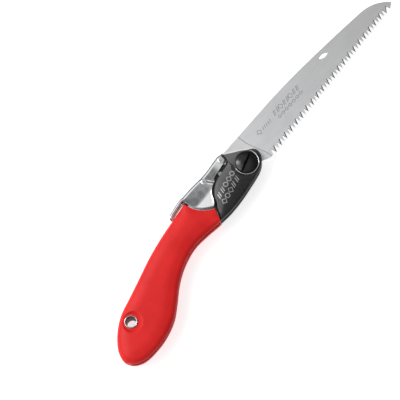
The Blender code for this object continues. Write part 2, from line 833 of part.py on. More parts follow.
def riveted_pin(name, centre, radius, half, material):
    """A pin with a low round head on each end."""
    head = radius + 0.9
    dome = [(head, 0.0), (head * 0.9, 0.45), (head * 0.6, 0.75), (0, 0.9)]
    upper = [(r, half + z) for r, z in dome]
    lower = [(r, -half - z) for r, z in reversed(dome)]
    profile = lower + [(radius, -half), (radius, half)] + upper
    pin = lathe(name, centre, profile, 28, material)
    round_shade(pin)
    return pin


def make_spring(material):
    """The torsion spring round the lever's pin, one leg under the lever's tail and one on the spacer."""
    upper_end = Vector((-50.0, 20.4))
    lower_end = Vector((-48.5, 13.9))

    def leg_angle(end, way):
        reach = end - LEVER_PIVOT
        return math.atan2(reach.y, reach.x) + way * math.acos(SPRING_RADIUS / reach.length)

    start = leg_angle(upper_end, -1)
    end = leg_angle(lower_end, 1)
    sweep = (end - start) % math.tau + math.tau * (SPRING_TURNS - 1)
    steps = 14 * SPRING_TURNS
    rise = PLATE_IN - CLEARANCE - SPRING_WIRE
    coil = []
    for i in range(steps + 1):
        angle = start + sweep * i / steps
        x = LEVER_PIVOT.x + SPRING_RADIUS * math.cos(angle)
        y = LEVER_PIVOT.y + SPRING_RADIUS * math.sin(angle)
        coil.append((x, y, -rise + 2 * rise * i / steps))
    path = [(upper_end.x, upper_end.y, -rise)] + coil + [(lower_end.x, lower_end.y, rise)]
    curve = bpy.data.curves.new("lever_spring", "CURVE")
    curve.dimensions = "3D"
    curve.bevel_depth = SPRING_WIRE * MM
    curve.bevel_resolution = 1
    curve.use_fill_caps = True
    spline = curve.splines.new("POLY")
    spline.points.add(len(path) - 1)
    for point, (x, y, z) in zip(spline.points, path):
        point.co = (x * MM, y * MM, (z + MIDDLE) * MM, 1)
    curve.materials.append(material)
    spring = bpy.data.objects.new("lever_spring", curve)
    bpy.context.scene.collection.objects.link(spring)


# ---------------------------------------------------------------- the saw


def main():
    for thing in list(bpy.data.objects):
        bpy.data.objects.remove(thing)
    blade_steel = finish("satin_blade_steel", (0.62, 0.63, 0.64), 0.38, 1.0)
    chrome = finish("chrome_plate", (0.78, 0.78, 0.78), 0.12, 1.0)
    lever_chrome = finish("lever_chrome", (0.8, 0.8, 0.8), 0.1, 1.0)
    steel = finish("bright_steel", (0.6, 0.6, 0.6), 0.25, 1.0)
    bronze = finish("washer_bronze", (0.6, 0.42, 0.2), 0.35, 1.0)
    black_plastic = finish("black_plastic", (0.03, 0.03, 0.03), 0.45)
    black_metal = finish("black_bolt", (0.015, 0.015, 0.015), 0.25, 0.3)
    red_rubber = finish("red_rubber", (0.75, 0.04, 0.04), 0.55)
    nylon = finish("spacer_nylon", (0.08, 0.08, 0.08), 0.6)

    blade_hinge = hinge("blade_hinge", Vector((0, 0)))
    lever_hinge = hinge("lever_hinge", LEVER_PIVOT)
    hang(make_blade(blade_steel), blade_hinge)
    make_frame(chrome, steel, nylon)
    make_cover("front_cover_right", SIDE_RIGHT, black_plastic)
    make_cover("front_cover_left", SIDE_LEFT, black_plastic)
    make_grip(red_rubber)
    make_eyelet(chrome)
    make_pivot(black_metal, steel, bronze)
    hang(make_lever(lever_chrome), lever_hinge)
    lock_half = ARM_HALF + CLEARANCE
    hang(riveted_pin("lock_pin", LOCK_PIN, LOCK_PIN_RADIUS, lock_half, steel), lever_hinge)
    wing_half = lever_half(LEVER_PIVOT.x, LEVER_PIVOT.y) + CLEARANCE
    riveted_pin("lever_pivot_pin", LEVER_PIVOT, LEVER_PIN_RADIUS, wing_half, steel)
    make_spring(steel)


main()
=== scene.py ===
"""The looks of the folding Japanese pull saw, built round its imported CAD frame.

Shapes are given in millimetres in the saw's own frame: +X along the blade to the tip, +Y towards the
blade's spine, and heights counted from the middle plane of the blade. The blade's hinge is the origin.
"""

import json
import math

import bmesh
import bpy
from mathutils import Matrix, Vector
from mathutils.geometry import delaunay_2d_cdt, tessellate_polygon


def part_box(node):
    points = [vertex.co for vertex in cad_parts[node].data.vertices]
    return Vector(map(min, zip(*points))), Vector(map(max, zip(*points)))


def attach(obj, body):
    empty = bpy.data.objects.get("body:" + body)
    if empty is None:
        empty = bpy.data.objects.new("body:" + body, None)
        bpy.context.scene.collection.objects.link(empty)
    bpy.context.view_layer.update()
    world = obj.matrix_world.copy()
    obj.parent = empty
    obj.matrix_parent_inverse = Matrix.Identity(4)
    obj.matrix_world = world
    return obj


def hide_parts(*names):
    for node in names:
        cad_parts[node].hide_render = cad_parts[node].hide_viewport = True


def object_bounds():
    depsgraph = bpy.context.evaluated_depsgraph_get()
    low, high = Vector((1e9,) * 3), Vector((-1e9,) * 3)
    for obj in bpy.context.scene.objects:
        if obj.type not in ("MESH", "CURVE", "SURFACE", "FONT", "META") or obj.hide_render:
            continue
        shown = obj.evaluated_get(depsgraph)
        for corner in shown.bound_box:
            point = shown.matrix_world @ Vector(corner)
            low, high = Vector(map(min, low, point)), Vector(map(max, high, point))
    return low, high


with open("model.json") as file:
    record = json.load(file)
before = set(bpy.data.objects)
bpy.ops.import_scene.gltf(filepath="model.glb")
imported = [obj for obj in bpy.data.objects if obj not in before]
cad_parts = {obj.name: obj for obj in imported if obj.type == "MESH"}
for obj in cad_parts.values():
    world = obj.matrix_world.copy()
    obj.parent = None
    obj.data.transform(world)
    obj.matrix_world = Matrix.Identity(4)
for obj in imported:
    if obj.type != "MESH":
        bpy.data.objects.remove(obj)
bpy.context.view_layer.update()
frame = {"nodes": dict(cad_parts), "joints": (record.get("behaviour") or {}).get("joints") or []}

MM = 0.001
JOINTS = {joint["name"]: joint for joint in frame["joints"]}
PIVOT = Vector(JOINTS["blade_fold"]["pos_m"])
LEVER_PIVOT = ((Vector(JOINTS["lever_press"]["pos_m"]) - PIVOT) / MM).to_2d()
LEVER_LOCKED = math.radians(JOINTS["lever_press"]["range_deg"][0])
ORIGIN = Vector((0, 0))
SMOOTH_ANGLE = math.radians(35)
QUARTER = math.pi / 2


def node_box(node):
    """The lowest and highest corners of a CAD node, in millimetres in the saw's frame."""
    return [(corner - PIVOT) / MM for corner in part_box(node)]


def node_centre(node):
    low, high = node_box(node)
    return ((low + high) / 2).to_2d()


# ---------------------------------------------------------------- shapes in the plane of the blade


def turned_about(point, centre, angle):
    return centre + Matrix.Rotation(angle, 2) @ (point - centre)


def smooth(points, steps=4):
    """A smooth curve through the points, with the given steps between each two."""
    points = [Vector(point) for point in points]
    knots = [0.0]
    for before, after in zip(points, points[1:]):
        knots.append(knots[-1] + (after - before).length)
    tangents = []
    for i in range(len(points)):
        low = max(i - 1, 0)
        high = min(i + 1, len(points) - 1)
        tangents.append((points[high] - points[low]) / (knots[high] - knots[low]))
    curve = []
    for i in range(len(points) - 1):
        span = knots[i + 1] - knots[i]
        for step in range(steps):
            t = step / steps
            start = (1 + 2 * t) * (1 - t) ** 2 * points[i] + t * (1 - t) ** 2 * span * tangents[i]
            end = t * t * (3 - 2 * t) * points[i + 1] + t * t * (t - 1) * span * tangents[i + 1]
            curve.append(start + end)
    curve.append(points[-1])
    return curve


def arc(centre, radius, start, end, steps):
    centre = Vector(centre)
    angles = [start + (end - start) * i / steps for i in range(steps + 1)]
    return [centre + radius * Vector((math.cos(a), math.sin(a))) for a in angles]


def circle(centre, radius, steps):
    return arc(centre, radius, 0, math.tau, steps)[:-1]


def join(*runs):
    """One closed outline from runs of points, without points that repeat where two runs meet."""
    outline = []
    for run in runs:
        for point in run:
            point = Vector(point)
            if not outline or (point - outline[-1]).length > 0.02:
                outline.append(point)
    if (outline[0] - outline[-1]).length <= 0.02:
        outline.pop()
    return outline


def corner_normals(outline):
    """At each point, the outward direction that moves both of its sides out by one."""
    area = sum(a.cross(b) for a, b in zip(outline, outline[1:] + outline[:1]))
    turn = 1 if area > 0 else -1
    normals = []
    for i, point in enumerate(outline):
        back = (point - outline[i - 1]).normalized()
        ahead = (outline[(i + 1) % len(outline)] - point).normalized()
        first = Vector((back.y, -back.x)) * turn
        second = Vector((ahead.y, -ahead.x)) * turn
        middle = (first + second).normalized()
        normals.append(middle / max(middle.dot(first), 0.5))
    return normals


def grown(outline, distance):
    return [p + n * distance for p, n in zip(outline, corner_normals(outline))]


def ramp(value, low, high):
    t = min(max((value - low) / (high - low), 0.0), 1.0)
    return t * t * (3 - 2 * t)


def at_height(outline, z):
    return [Vector((p.x, p.y, z)) for p in outline]


def inset_loop(outline, rule):
    """A loop within an outline; rule gives how far a point moves inwards, and the height at the new spot."""
    loop = []
    for index, (point, normal) in enumerate(zip(outline, corner_normals(outline))):
        inset, height = rule(index, point)
        spot = point - normal * inset
        loop.append(Vector((*spot, height(spot) if callable(height) else height)))
    return loop


def rectangle(centre, length, width, angle):
    turn = Matrix.Rotation(angle, 2)
    corners = [(-1, -1), (1, -1), (1, 1), (-1, 1)]
    return [centre + turn @ Vector((u * length / 2, v * width / 2)) for u, v in corners]


def bead(inner, outer, top, steps):
    """The rounded top of a ring's profile, from its outer edge over to its inner edge."""
    rise = 0.45
    middle = (inner + outer) / 2
    half = (outer - inner) / 2
    return [(middle + half * p.x, top - rise + rise * p.y) for p in arc((0, 0), 1, 0, math.pi, steps)]


def both_sides(profile):
    """A profile above the middle plane, with its mirror image below."""
    return [(radius, -z) for radius, z in reversed(profile)] + profile


def depth_inside(point, outline):
    """How far a point is from the nearest side of an outline."""
    nearest = 1e9
    for a, b in zip(outline, outline[1:] + outline[:1]):
        side = b - a
        share = min(max((point - a).dot(side) / side.length_squared, 0.0), 1.0)
        nearest = min(nearest, (point - a - side * share).length)
    return nearest


def holds(outline, point):
    """True for a point within the outline."""
    inside = False
    for a, b in zip(outline, outline[1:] + outline[:1]):
        if (a.y > point.y) != (b.y > point.y):
            inside ^= point.x < a.x + (b.x - a.x) * (point.y - a.y) / (b.y - a.y)
    return inside


# ---------------------------------------------------------------- meshes


class Shape:
    """Points in millimetres and the faces between them; equal points are one vertex."""

    def __init__(self):
        self.points = []
        self.known = {}
        self.faces = []

    def vertex(self, point):
        key = tuple(round(c, 4) for c in point)
        if key not in self.known:
            self.known[key] = len(self.points)
            self.points.append(key)
        return self.known[key]

    def face(self, *points):
        corners = []
        for point in points:
            index = self.vertex(point)
            if index not in corners:
                corners.append(index)
        if len(corners) > 2:
            self.faces.append(corners)

    def strip(self, first, second, closed=True):
        """Faces between two runs of points of equal length."""
        count = len(first)
        for i in range(count if closed else count - 1):
            j = (i + 1) % count
            self.face(first[i], first[j], second[j], second[i])

    def fill(self, outline, *holes):
        points = [p for loop in (outline, *holes) for p in loop]
        for triangle in tessellate_polygon([outline, *holes]):
            self.face(*(points[i] for i in triangle))

    def crown(self, loop, height, spacing):
        """A domed cap within a loop; height gives z at a point of the cap."""
        outline = [p.to_2d() for p in loop]
        known = {tuple(p): q.z for p, q in zip(outline, loop)}
        spans = []
        for axis in range(2):
            reach = [p[axis] / spacing for p in outline]
            spans.append(range(math.ceil(min(reach)), int(max(reach)) + 1))
        points = list(outline)
        for column in spans[0]:
            for row in spans[1]:
                point = Vector((column + 0.5 * (row % 2), row)) * spacing
                if holds(outline, point) and depth_inside(point, outline) > 0.6 * spacing:
                    points.append(point)
        edges = [(i, (i + 1) % len(outline)) for i in range(len(outline))]
        flat, _, triangles, *_ = delaunay_2d_cdt(points, edges, [], 1, 1e-5)
        for triangle in triangles:
            corners = []
            for index in triangle:
                point = flat[index]
                z = known.get(tuple(point))
                corners.append((*point, height(point) if z is None else z))
            self.face(*corners)

    def stack(self, loops, capped=True):
        """A solid from loops of equal length, one above the next."""
        for low, high in zip(loops, loops[1:]):
            self.strip(low, high)
        if capped:
            self.face(*loops[0])
            self.face(*loops[-1])

    def lathe(self, centre, profile, steps):
        """A solid turned about the vertical line through centre; a profile point is (radius, height)."""
        rings = []
        for radius, height in profile:
            rings.append([(*p, height) for p in circle(centre, max(radius, 0), steps)])
        for ring, following in zip(rings, rings[1:] + rings[:1]):
            self.strip(ring, following)

    def thing(self, name, material=None, sharp=SMOOTH_ANGLE):
        mesh = bpy.data.meshes.new(name)
        points = [tuple(c * MM + origin for c, origin in zip(point, PIVOT)) for point in self.points]
        mesh.from_pydata(points, [], self.faces)
        shape = bmesh.new()
        shape.from_mesh(mesh)
        bmesh.ops.recalc_face_normals(shape, faces=shape.faces)
        shape.to_mesh(mesh)
        shape.free()
        if material:
            mesh.materials.append(material)
        return resharpen(linked(name, mesh), sharp)


def linked(name, data):
    """A new object of the scene."""
    made = bpy.data.objects.new(name, data)
    bpy.context.scene.collection.objects.link(made)
    return made


def resharpen(thing, angle):
    thing.data.shade_smooth()
    thing.data.set_sharp_from_angle(angle=angle)
    return thing


def slab(name, outline, low, high, material=None):
    shape = Shape()
    shape.stack([at_height(outline, z) for z in sorted((low, high))])
    return shape.thing(name, material)


def turned(name, centre, profile, material=None, steps=96):
    shape = Shape()
    shape.lathe(centre, profile, steps)
    return shape.thing(name, material)


def rod(name, centre, radius, low, high, material=None, steps=48):
    return turned(name, centre, [(0, low), (radius, low), (radius, high), (0, high)], material, steps)


def given(thing, material, chosen):
    """The thing with a second material on the faces for which chosen is true."""
    thing.data.materials.append(material)
    for face in thing.data.polygons:
        if chosen(face):
            face.material_index = 1
    return thing


def carved(thing, *cutters, operation="DIFFERENCE"):
    """The thing's mesh with the cutters taken away, or added; the cutters are then gone."""
    for cutter in cutters:
        boolean = thing.modifiers.new(cutter.name, "BOOLEAN")
        boolean.operation = operation
        boolean.solver = "EXACT"
        boolean.object = cutter
        if len(cutter.data.materials):
            boolean.material_mode = "TRANSFER"
    bpy.context.view_layer.update()
    graph = bpy.context.evaluated_depsgraph_get()
    mesh = bpy.data.meshes.new_from_object(thing.evaluated_get(graph), depsgraph=graph)
    thing.modifiers.clear()
    thing.data = mesh
    mesh.name = thing.name
    for cutter in cutters:
        bpy.data.objects.remove(cutter)
    return thing


def soften(thing, width, segments=2, limit=math.radians(40)):
    """Rounds the thing's sharp edges off a little."""
    bevel = thing.modifiers.new("soft_edges", "BEVEL")
    bevel.width = width * MM
    bevel.segments = segments
    bevel.limit_method = "ANGLE"
    bevel.angle_limit = limit
    bevel.harden_normals = True
    bevel.use_clamp_overlap = True
    return thing


def place(thing, body, slot, *nodes):
    """The finished piece moves with a body, and stands for its CAD nodes where it has any."""
    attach(thing, body)
    if nodes:
        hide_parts(*nodes)


# ---------------------------------------------------------------- materials


class Tree:
    """A node tree, with short ways to add what the surfaces and the studio use."""

    def __init__(self, tree, coordinates):
        self.tree = tree
        self.place = self.add("ShaderNodeTexCoord").outputs[coordinates]

    def add(self, kind, **settings):
        node = self.tree.nodes.new(kind)
        for key, value in settings.items():
            setattr(node, key, value)
        return node

    def link(self, source, target):
        self.tree.links.new(source, target)

    def spread(self, source, low, high, start=0.3, end=0.7, **settings):
        spread = self.add("ShaderNodeMapRange", **settings)
        for name, value in (("From Min", start), ("From Max", end), ("To Min", low), ("To Max", high)):
            spread.inputs[name].default_value = value
        self.link(source, spread.inputs["Value"])
        return spread.outputs["Result"]

    def mix(self, factor, first, second):
        mix = self.add("ShaderNodeMix", data_type="RGBA")
        colour_inputs = [s for s in mix.inputs if s.type == "RGBA"]
        for value, socket in zip((first, second), colour_inputs):
            if isinstance(value, tuple):
                socket.default_value = (*value, 1)
            else:
                self.link(value, socket)
        self.link(factor, mix.inputs["Factor"])
        return [s for s in mix.outputs if s.type == "RGBA"][0]


class Surface(Tree):
    """A material; its patterns are laid out in the saw's frame."""

    def __init__(self, name):
        self.material = bpy.data.materials.new(name)
        self.material.use_nodes = True
        super().__init__(self.material.node_tree, "Object")
        self.shader = self.tree.nodes["Principled BSDF"]

    def texture(self, kind, scale, turn=0.0, **inputs):
        mapping = self.add("ShaderNodeMapping")
        mapping.inputs["Scale"].default_value = [s / MM for s in scale]
        mapping.inputs["Rotation"].default_value = (0, 0, turn)
        texture = self.add(kind)
        texture.inputs["Scale"].default_value = 1.0
        for name, value in inputs.items():
            texture.inputs[name].default_value = value
        self.link(self.place, mapping.inputs["Vector"])
        self.link(mapping.outputs["Vector"], texture.inputs["Vector"])
        return texture.outputs

    def noise(self, scale, detail=3.0, stretch=(1, 1, 1), turn=0.0, roughness=0.55):
        """A grey noise whose cells are about 1/scale millimetres across."""
        scales = [s * scale for s in stretch]
        return self.texture("ShaderNodeTexNoise", scales, turn, Detail=detail, Roughness=roughness)["Fac"]

    def cells(self, scale):
        return self.texture("ShaderNodeTexVoronoi", [scale] * 3)["Distance"]

    def colours(self, source, stops):
        """A colour ramp; each stop is (place, colour)."""
        ramp_node = self.add("ShaderNodeValToRGB")
        elements = ramp_node.color_ramp.elements
        while len(elements) < len(stops):
            elements.new(0.5)
        for element, (place_on_ramp, colour) in zip(elements, stops):
            element.position = place_on_ramp
            element.color = (*colour, 1)
        self.link(source, ramp_node.inputs["Fac"])
        return ramp_node.outputs["Color"]

    def along(self, axis, low, high):
        """0 to 1 from low to high millimetres along an axis of the saw's frame."""
        split = self.add("ShaderNodeSeparateXYZ")
        self.link(self.place, split.inputs["Vector"])
        return self.spread(split.outputs["XYZ".index(axis)], 0.0, 1.0, low * MM, high * MM)

    def bump(self, source, height, before=None):
        """Relief of the given height in millimetres."""
        bump = self.add("ShaderNodeBump")
        bump.inputs["Distance"].default_value = height * MM
        bump.inputs["Strength"].default_value = 1.0
        self.link(source, bump.inputs["Height"])
        if before:
            self.link(before, bump.inputs["Normal"])
        return bump.outputs["Normal"]

    def finish(self, metallic, colour, rough, relief, specular=0.5):
        """The material; each of colour, rough and relief is an output of the tree."""
        sockets = self.shader.inputs
        sockets["Metallic"].default_value = metallic
        sockets["Specular IOR Level"].default_value = specular
        self.link(colour, sockets["Base Color"])
        self.link(rough, sockets["Roughness"])
        self.link(relief, sockets["Normal"])
        return self.material


def mottled(name, noise, tones, rough, relief, metallic=1.0, specular=0.5, share=1.0, band=(0.3, 0.7)):
    """A finish whose colour, roughness and relief follow one noise; its colour runs between two tones."""
    n = Surface(name)
    marks = n.noise(*noise)
    colour = n.mix(n.spread(marks, 0.0, share, *band), *tones)
    return n.finish(metallic, colour, n.spread(marks, *rough), n.bump(marks, relief), specular)


def grey(value):
    return (value, value, value)


def blade_steel():
    """Satin steel, ground along the blade, a little warmer and darker towards the tip, with a painted
    highlight in a lighter band just before the ground shoulder.
    """
    n = Surface("blade_steel")
    # The stop at 0.08, near x = 12 just before the shoulder, is the painted highlight.
    tones = [(0.0, grey(0.80)), (0.08, grey(0.84)), (0.125, (0.80, 0.805, 0.82)), (1.0, (0.73, 0.73, 0.72))]
    cloud = n.spread(n.noise(0.06, 4.0), 0.0, 0.22)
    toned = n.mix(cloud, n.colours(n.along("X", -4, 196), tones), grey(0.60))
    grind = n.noise(1.6, 3.0, (0.05, 1.0, 1.0), 0.02)
    lines = n.mix(n.spread(grind, 0.0, 0.16), toned, (0.40, 0.40, 0.41))
    rough = n.spread(n.noise(0.9, 3.0, (0.07, 1.0, 1.0)), 0.40, 0.50)
    return n.finish(1.0, lines, rough, n.bump(grind, 0.006))


def ground_steel():
    """The teeth's ground facets: shinier than the blade's face, with fine wheel marks across; their very dark
    tone is painted shade for the dark strokes along the teeth.
    """
    tones = (0.22, 0.215, 0.21), (0.13, 0.125, 0.12)
    return mottled("ground_facets", (5.0, 2.0, (1.0, 0.15, 0.6), 0.3), tones, (0.16, 0.30), 0.006, share=0.5)


def etched_steel():
    return mottled("etched_steel", (4.0,), ((0.47, 0.47, 0.48), (0.33, 0.33, 0.34)), (0.5, 0.62), 0.01)


def chrome(name, colour, rough):
    """Bright plating: faint waves of the sheet under it, with a few rubbed patches."""
    n = Surface(name)
    rubbed_and_painted_light = n.noise(0.25, 4.0)
    waves = n.noise(0.16, 2.0)
    scratches = n.noise(3.0, 2.0, (0.06, 1.0, 1.0), 0.2)
    darker = tuple(c * 0.88 for c in colour)
    toned = n.mix(n.spread(scratches, 0.0, 0.5, 0.55, 0.75), colour, darker)
    relief = n.bump(scratches, 0.0015, n.bump(waves, 0.03))
    return n.finish(1.0, toned, n.spread(rubbed_and_painted_light, rough, rough + 0.09), relief)


def painted_shade_liner_finish():
    """The liners' flat faces: painted shade, nearly black, forward of x = -46.5, where they lie under the
    covers and in the gap beside the lever arm; behind x = -49 their own bright chrome tone.
    """
    n = Surface("liner_painted_shade")
    liner_mottle = n.noise(0.7, 4.0)
    share = n.spread(liner_mottle, 0.0, 1.0)
    # Painted shade: the nearly black tones of the flat faces forward of x = -46.5.
    painted_gap_shade = n.mix(share, (0.020, 0.020, 0.021), (0.050, 0.049, 0.047))
    liner_chrome_tone = n.mix(share, (0.86, 0.86, 0.87), (0.70, 0.70, 0.71))
    colour = n.mix(n.along("X", -49.0, -46.5), liner_chrome_tone, painted_gap_shade)
    return n.finish(0.9, colour, n.spread(liner_mottle, 0.34, 0.54), n.bump(liner_mottle, 0.01))


def bright_steel():
    tones = (0.72, 0.72, 0.73), (0.50, 0.50, 0.51)
    return mottled("bright_steel", (2.5, 3.0, (1.0, 1.0, 0.3)), tones, (0.18, 0.34), 0.006, share=0.6)


def bronze():
    tones = (0.62, 0.44, 0.22), (0.42, 0.27, 0.13)
    return mottled("washer_bronze", (1.2,), tones, (0.28, 0.45), 0.01)


def nylon():
    tones = (0.055, 0.055, 0.057), (0.085, 0.085, 0.087)
    return mottled("spacer_nylon", (3.0,), tones, (0.5, 0.66), 0.02, metallic=0.0)


def black_plastic():
    """Satin moulded plastic with a fine spark-eroded stipple; painted light makes it greyer towards the spine
    and puts lighter grey glints on the stipple's specks.
    """
    n = Surface("black_plastic")
    stipple = n.noise(3.2, 2.0, roughness=0.6)
    bloom = n.spread(n.noise(0.12, 3.0), 0.0, 0.55)
    colour = n.mix(bloom, (0.004, 0.004, 0.0042), (0.010, 0.010, 0.0102))
    # Painted light: the cover is made greyer towards the spine, where the lamps light it.
    rubbed_and_painted_light = n.mix(n.along("Y", -4.0, 13.0), colour, (0.125, 0.124, 0.121))
    # Painted glints: the stipple's raised specks are a lighter grey.
    specks = n.mix(n.spread(stipple, 0.0, 0.5, 0.5, 0.72), rubbed_and_painted_light, (0.150, 0.150, 0.147))
    return n.finish(0.0, specks, n.spread(stipple, 0.34, 0.50), n.bump(stipple, 0.07), 0.42)


def black_metal():
    """Gloss black finish on the bolt and nut, with a slight orange peel."""
    n = Surface("black_metal")
    wear = n.noise(0.5, 4.0)
    colour = n.mix(n.spread(wear, 0.0, 1.0), (0.006, 0.006, 0.0065), (0.016, 0.016, 0.017))
    return n.finish(0.0, colour, n.spread(wear, 0.17, 0.24), n.bump(n.noise(1.1, 2.0), 0.02), 0.3)


def red_rubber(name="red_rubber", depth=1.0):
    """Moulded rubber: fine pores, slow changes of tone and a soft sheen; a depth below 1 darkens all its
    tones, as painted shade.
    """
    n = Surface(name)
    pores = n.noise(2.6, 3.0, roughness=0.6)
    dimples = n.cells(1.5)
    cloud = n.spread(n.noise(0.05, 3.0), 0.0, 1.0)
    tones = (0.66, 0.011, 0.011), (0.77, 0.017, 0.017), (0.42, 0.006, 0.006)
    dull, clear, pore = (tuple(c * depth for c in tone) for tone in tones)
    specks = n.mix(n.spread(pores, 0.0, 0.5, 0.5, 0.8), n.mix(cloud, dull, clear), pore)
    relief = n.bump(pores, 0.035, n.bump(dimples, 0.02))
    return n.finish(0.0, specks, n.spread(pores, 0.42, 0.58), relief, 0.22)


def silver_print():
    """Raised marks with a hot-stamped silver face, thin in places."""
    tones = (0.42, 0.42, 0.43), (0.20, 0.20, 0.21)
    return mottled("silver_print", (2.0, 4.0), tones, (0.28, 0.45), 0.01, metallic=0.4, band=(0.45, 0.75))


# The bolt's driver slot: painted shade, darker and duller than the gloss black head round it.
def slot_painted_shade():
    tones = grey(0.004), grey(0.008)
    return mottled("slot_painted_shade", (2.0,), tones, (0.7, 0.9), 0.02, metallic=0.0, specular=0.1)


def bore_dark():
    tones = grey(0.02), grey(0.05)
    return mottled("nut_threads", (2.0, 2.0, (0.1, 0.1, 3.0)), tones, (0.3, 0.5), 0.02, metallic=0.6)


# ---------------------------------------------------------------- blade

BLADE_HALF = 0.6
GROUND_HALF = 0.42
SHOULDER_RUN = 0.6
EDGE_CHAMFER = 0.22
TOOTH_PITCH = 3.75
TOOTH_COUNT = 43
TOOTH_DEPTH = 5.0
TOOTH_LEAN = 1.15
TOOTH_FLAT = 0.25
FIRST_TOOTH = Vector((24.6, -12.6))
EDGE_RISE = 0.0473
HEEL_FACET = 0.3
TOE_FACET = 1.15
FACET_RISE = 0.8
FACETS_FROM = 22.5
FACETS_ABOVE_ROOTS = 1.2
HOLE_CHAMFER = 0.15
TIP = Vector((192.6, -1.6))
TIP_CORNER = Vector((187.3, -4.9))
TANG_RADIUS = 19.05
TANG_RIM_END = math.radians(228)
SPINE_END = Vector((-6.4, 21.2))
SECOND_NOTCH = math.radians(20)
NOTCH_CLEARANCE = 0.35
NAIL_HOLE = Vector((116.5, 12.0))
NAIL_HOLE_SIZE = Vector((9.6, 3.2))
NAIL_HOLE_ANGLE = math.radians(-12)
LOCK_PIN = node_centre("lock_pin")
LOCK_PIN_RADIUS = 1.9
BOLT_HOLE_RADIUS = 4.1


def tooth_tip(index):
    x = index * TOOTH_PITCH
    return FIRST_TOOTH + Vector((x, x * EDGE_RISE))


def locked_pin():
    return turned_about(LOCK_PIN, LEVER_PIVOT, LEVER_LOCKED)


def bearing(point):
    return math.atan2(point.y, point.x) % math.tau


def notch(turn):
    """The round notch that the locked pin fills, as points in order around the tang's rim."""
    pin = locked_pin()
    radius = LOCK_PIN_RADIUS + NOTCH_CLEARANCE
    reach = math.acos((pin.length**2 + radius**2 - TANG_RADIUS**2) / (2 * pin.length * radius))
    inward = bearing(-pin)
    points = arc(pin, radius, inward + reach, inward - reach, 14)
    return [turned_about(p, ORIGIN, turn) for p in points]


def tang_rim():
    start = math.acos(SPINE_END.x / TANG_RADIUS)
    first = notch(0.0)
    second = notch(SECOND_NOTCH)
    return join(
        arc(ORIGIN, TANG_RADIUS, start, bearing(first[0]), 5),
        first,
        arc(ORIGIN, TANG_RADIUS, bearing(first[-1]), bearing(second[0]), 4),
        second,
        arc(ORIGIN, TANG_RADIUS, bearing(second[-1]), TANG_RIM_END, 30),
    )


def lens(centre, size, angle, steps=14):
    """The pointed oval between two arcs."""
    half = size.x / 2
    rise = size.y / 2
    radius = (half * half + rise * rise) / (2 * rise)
    reach = math.asin(half / radius)
    upper = arc((0, rise - radius), radius, QUARTER - reach, QUARTER + reach, steps)
    lower = arc((0, radius - rise), radius, -QUARTER - reach, -QUARTER + reach, steps)
    return [centre + Matrix.Rotation(angle, 2) @ point for point in join(upper, lower)]


def station(right, left, half, inset=Vector((0, 0))):
    """One place along the blade's edge: its points on the right face, the wall and the left face."""
    drop = EDGE_CHAMFER if inset.length > 0 else 0.0
    levels = (right - inset, half), (right, half - drop), (left, drop - half), (left - inset, -half)
    return [Vector((*point, z)) for point, z in levels]


def tooth_stations():
    """Pull teeth whose flanks are ground on alternate sides, each flank a facet through the whole blade."""
    stations = []
    heel_side = FIRST_TOOTH + Vector((-1.0, TOOTH_DEPTH))
    for index in range(TOOTH_COUNT):
        tip = tooth_tip(index)
        flat = tip + Vector((TOOTH_FLAT, 0.05))
        gullet = tip + Vector((TOOTH_LEAN + TOOTH_PITCH / 2, TOOTH_DEPTH))
        toe_side = gullet + Vector((-0.15, 0))
        if index == TOOTH_COUNT - 1:
            toe_side = TIP_CORNER + Vector((-0.6, TOOTH_DEPTH - 1.0))
        heel_line = (tip - heel_side).normalized()
        toe_line = (toe_side - flat).normalized()
        heel_in = heel_side + Vector((HEEL_FACET, 0))
        toe_in = toe_side - Vector((TOE_FACET, 0)) + toe_line * FACET_RISE
        reach = (toe_in - heel_in).cross(toe_line) / heel_line.cross(toe_line)
        meet = heel_in + heel_line * reach
        sides = [(heel_side, heel_side), (heel_in, heel_side), (meet, tip), (meet, flat), (toe_in, toe_side)]
        for ground, whole in sides + [(toe_side, toe_side)]:
            right, left = (whole, ground) if index % 2 else (ground, whole)
            stations.append(station(right, left, GROUND_HALF))
        heel_side = gullet + Vector((0.2, -0.1))
    return stations


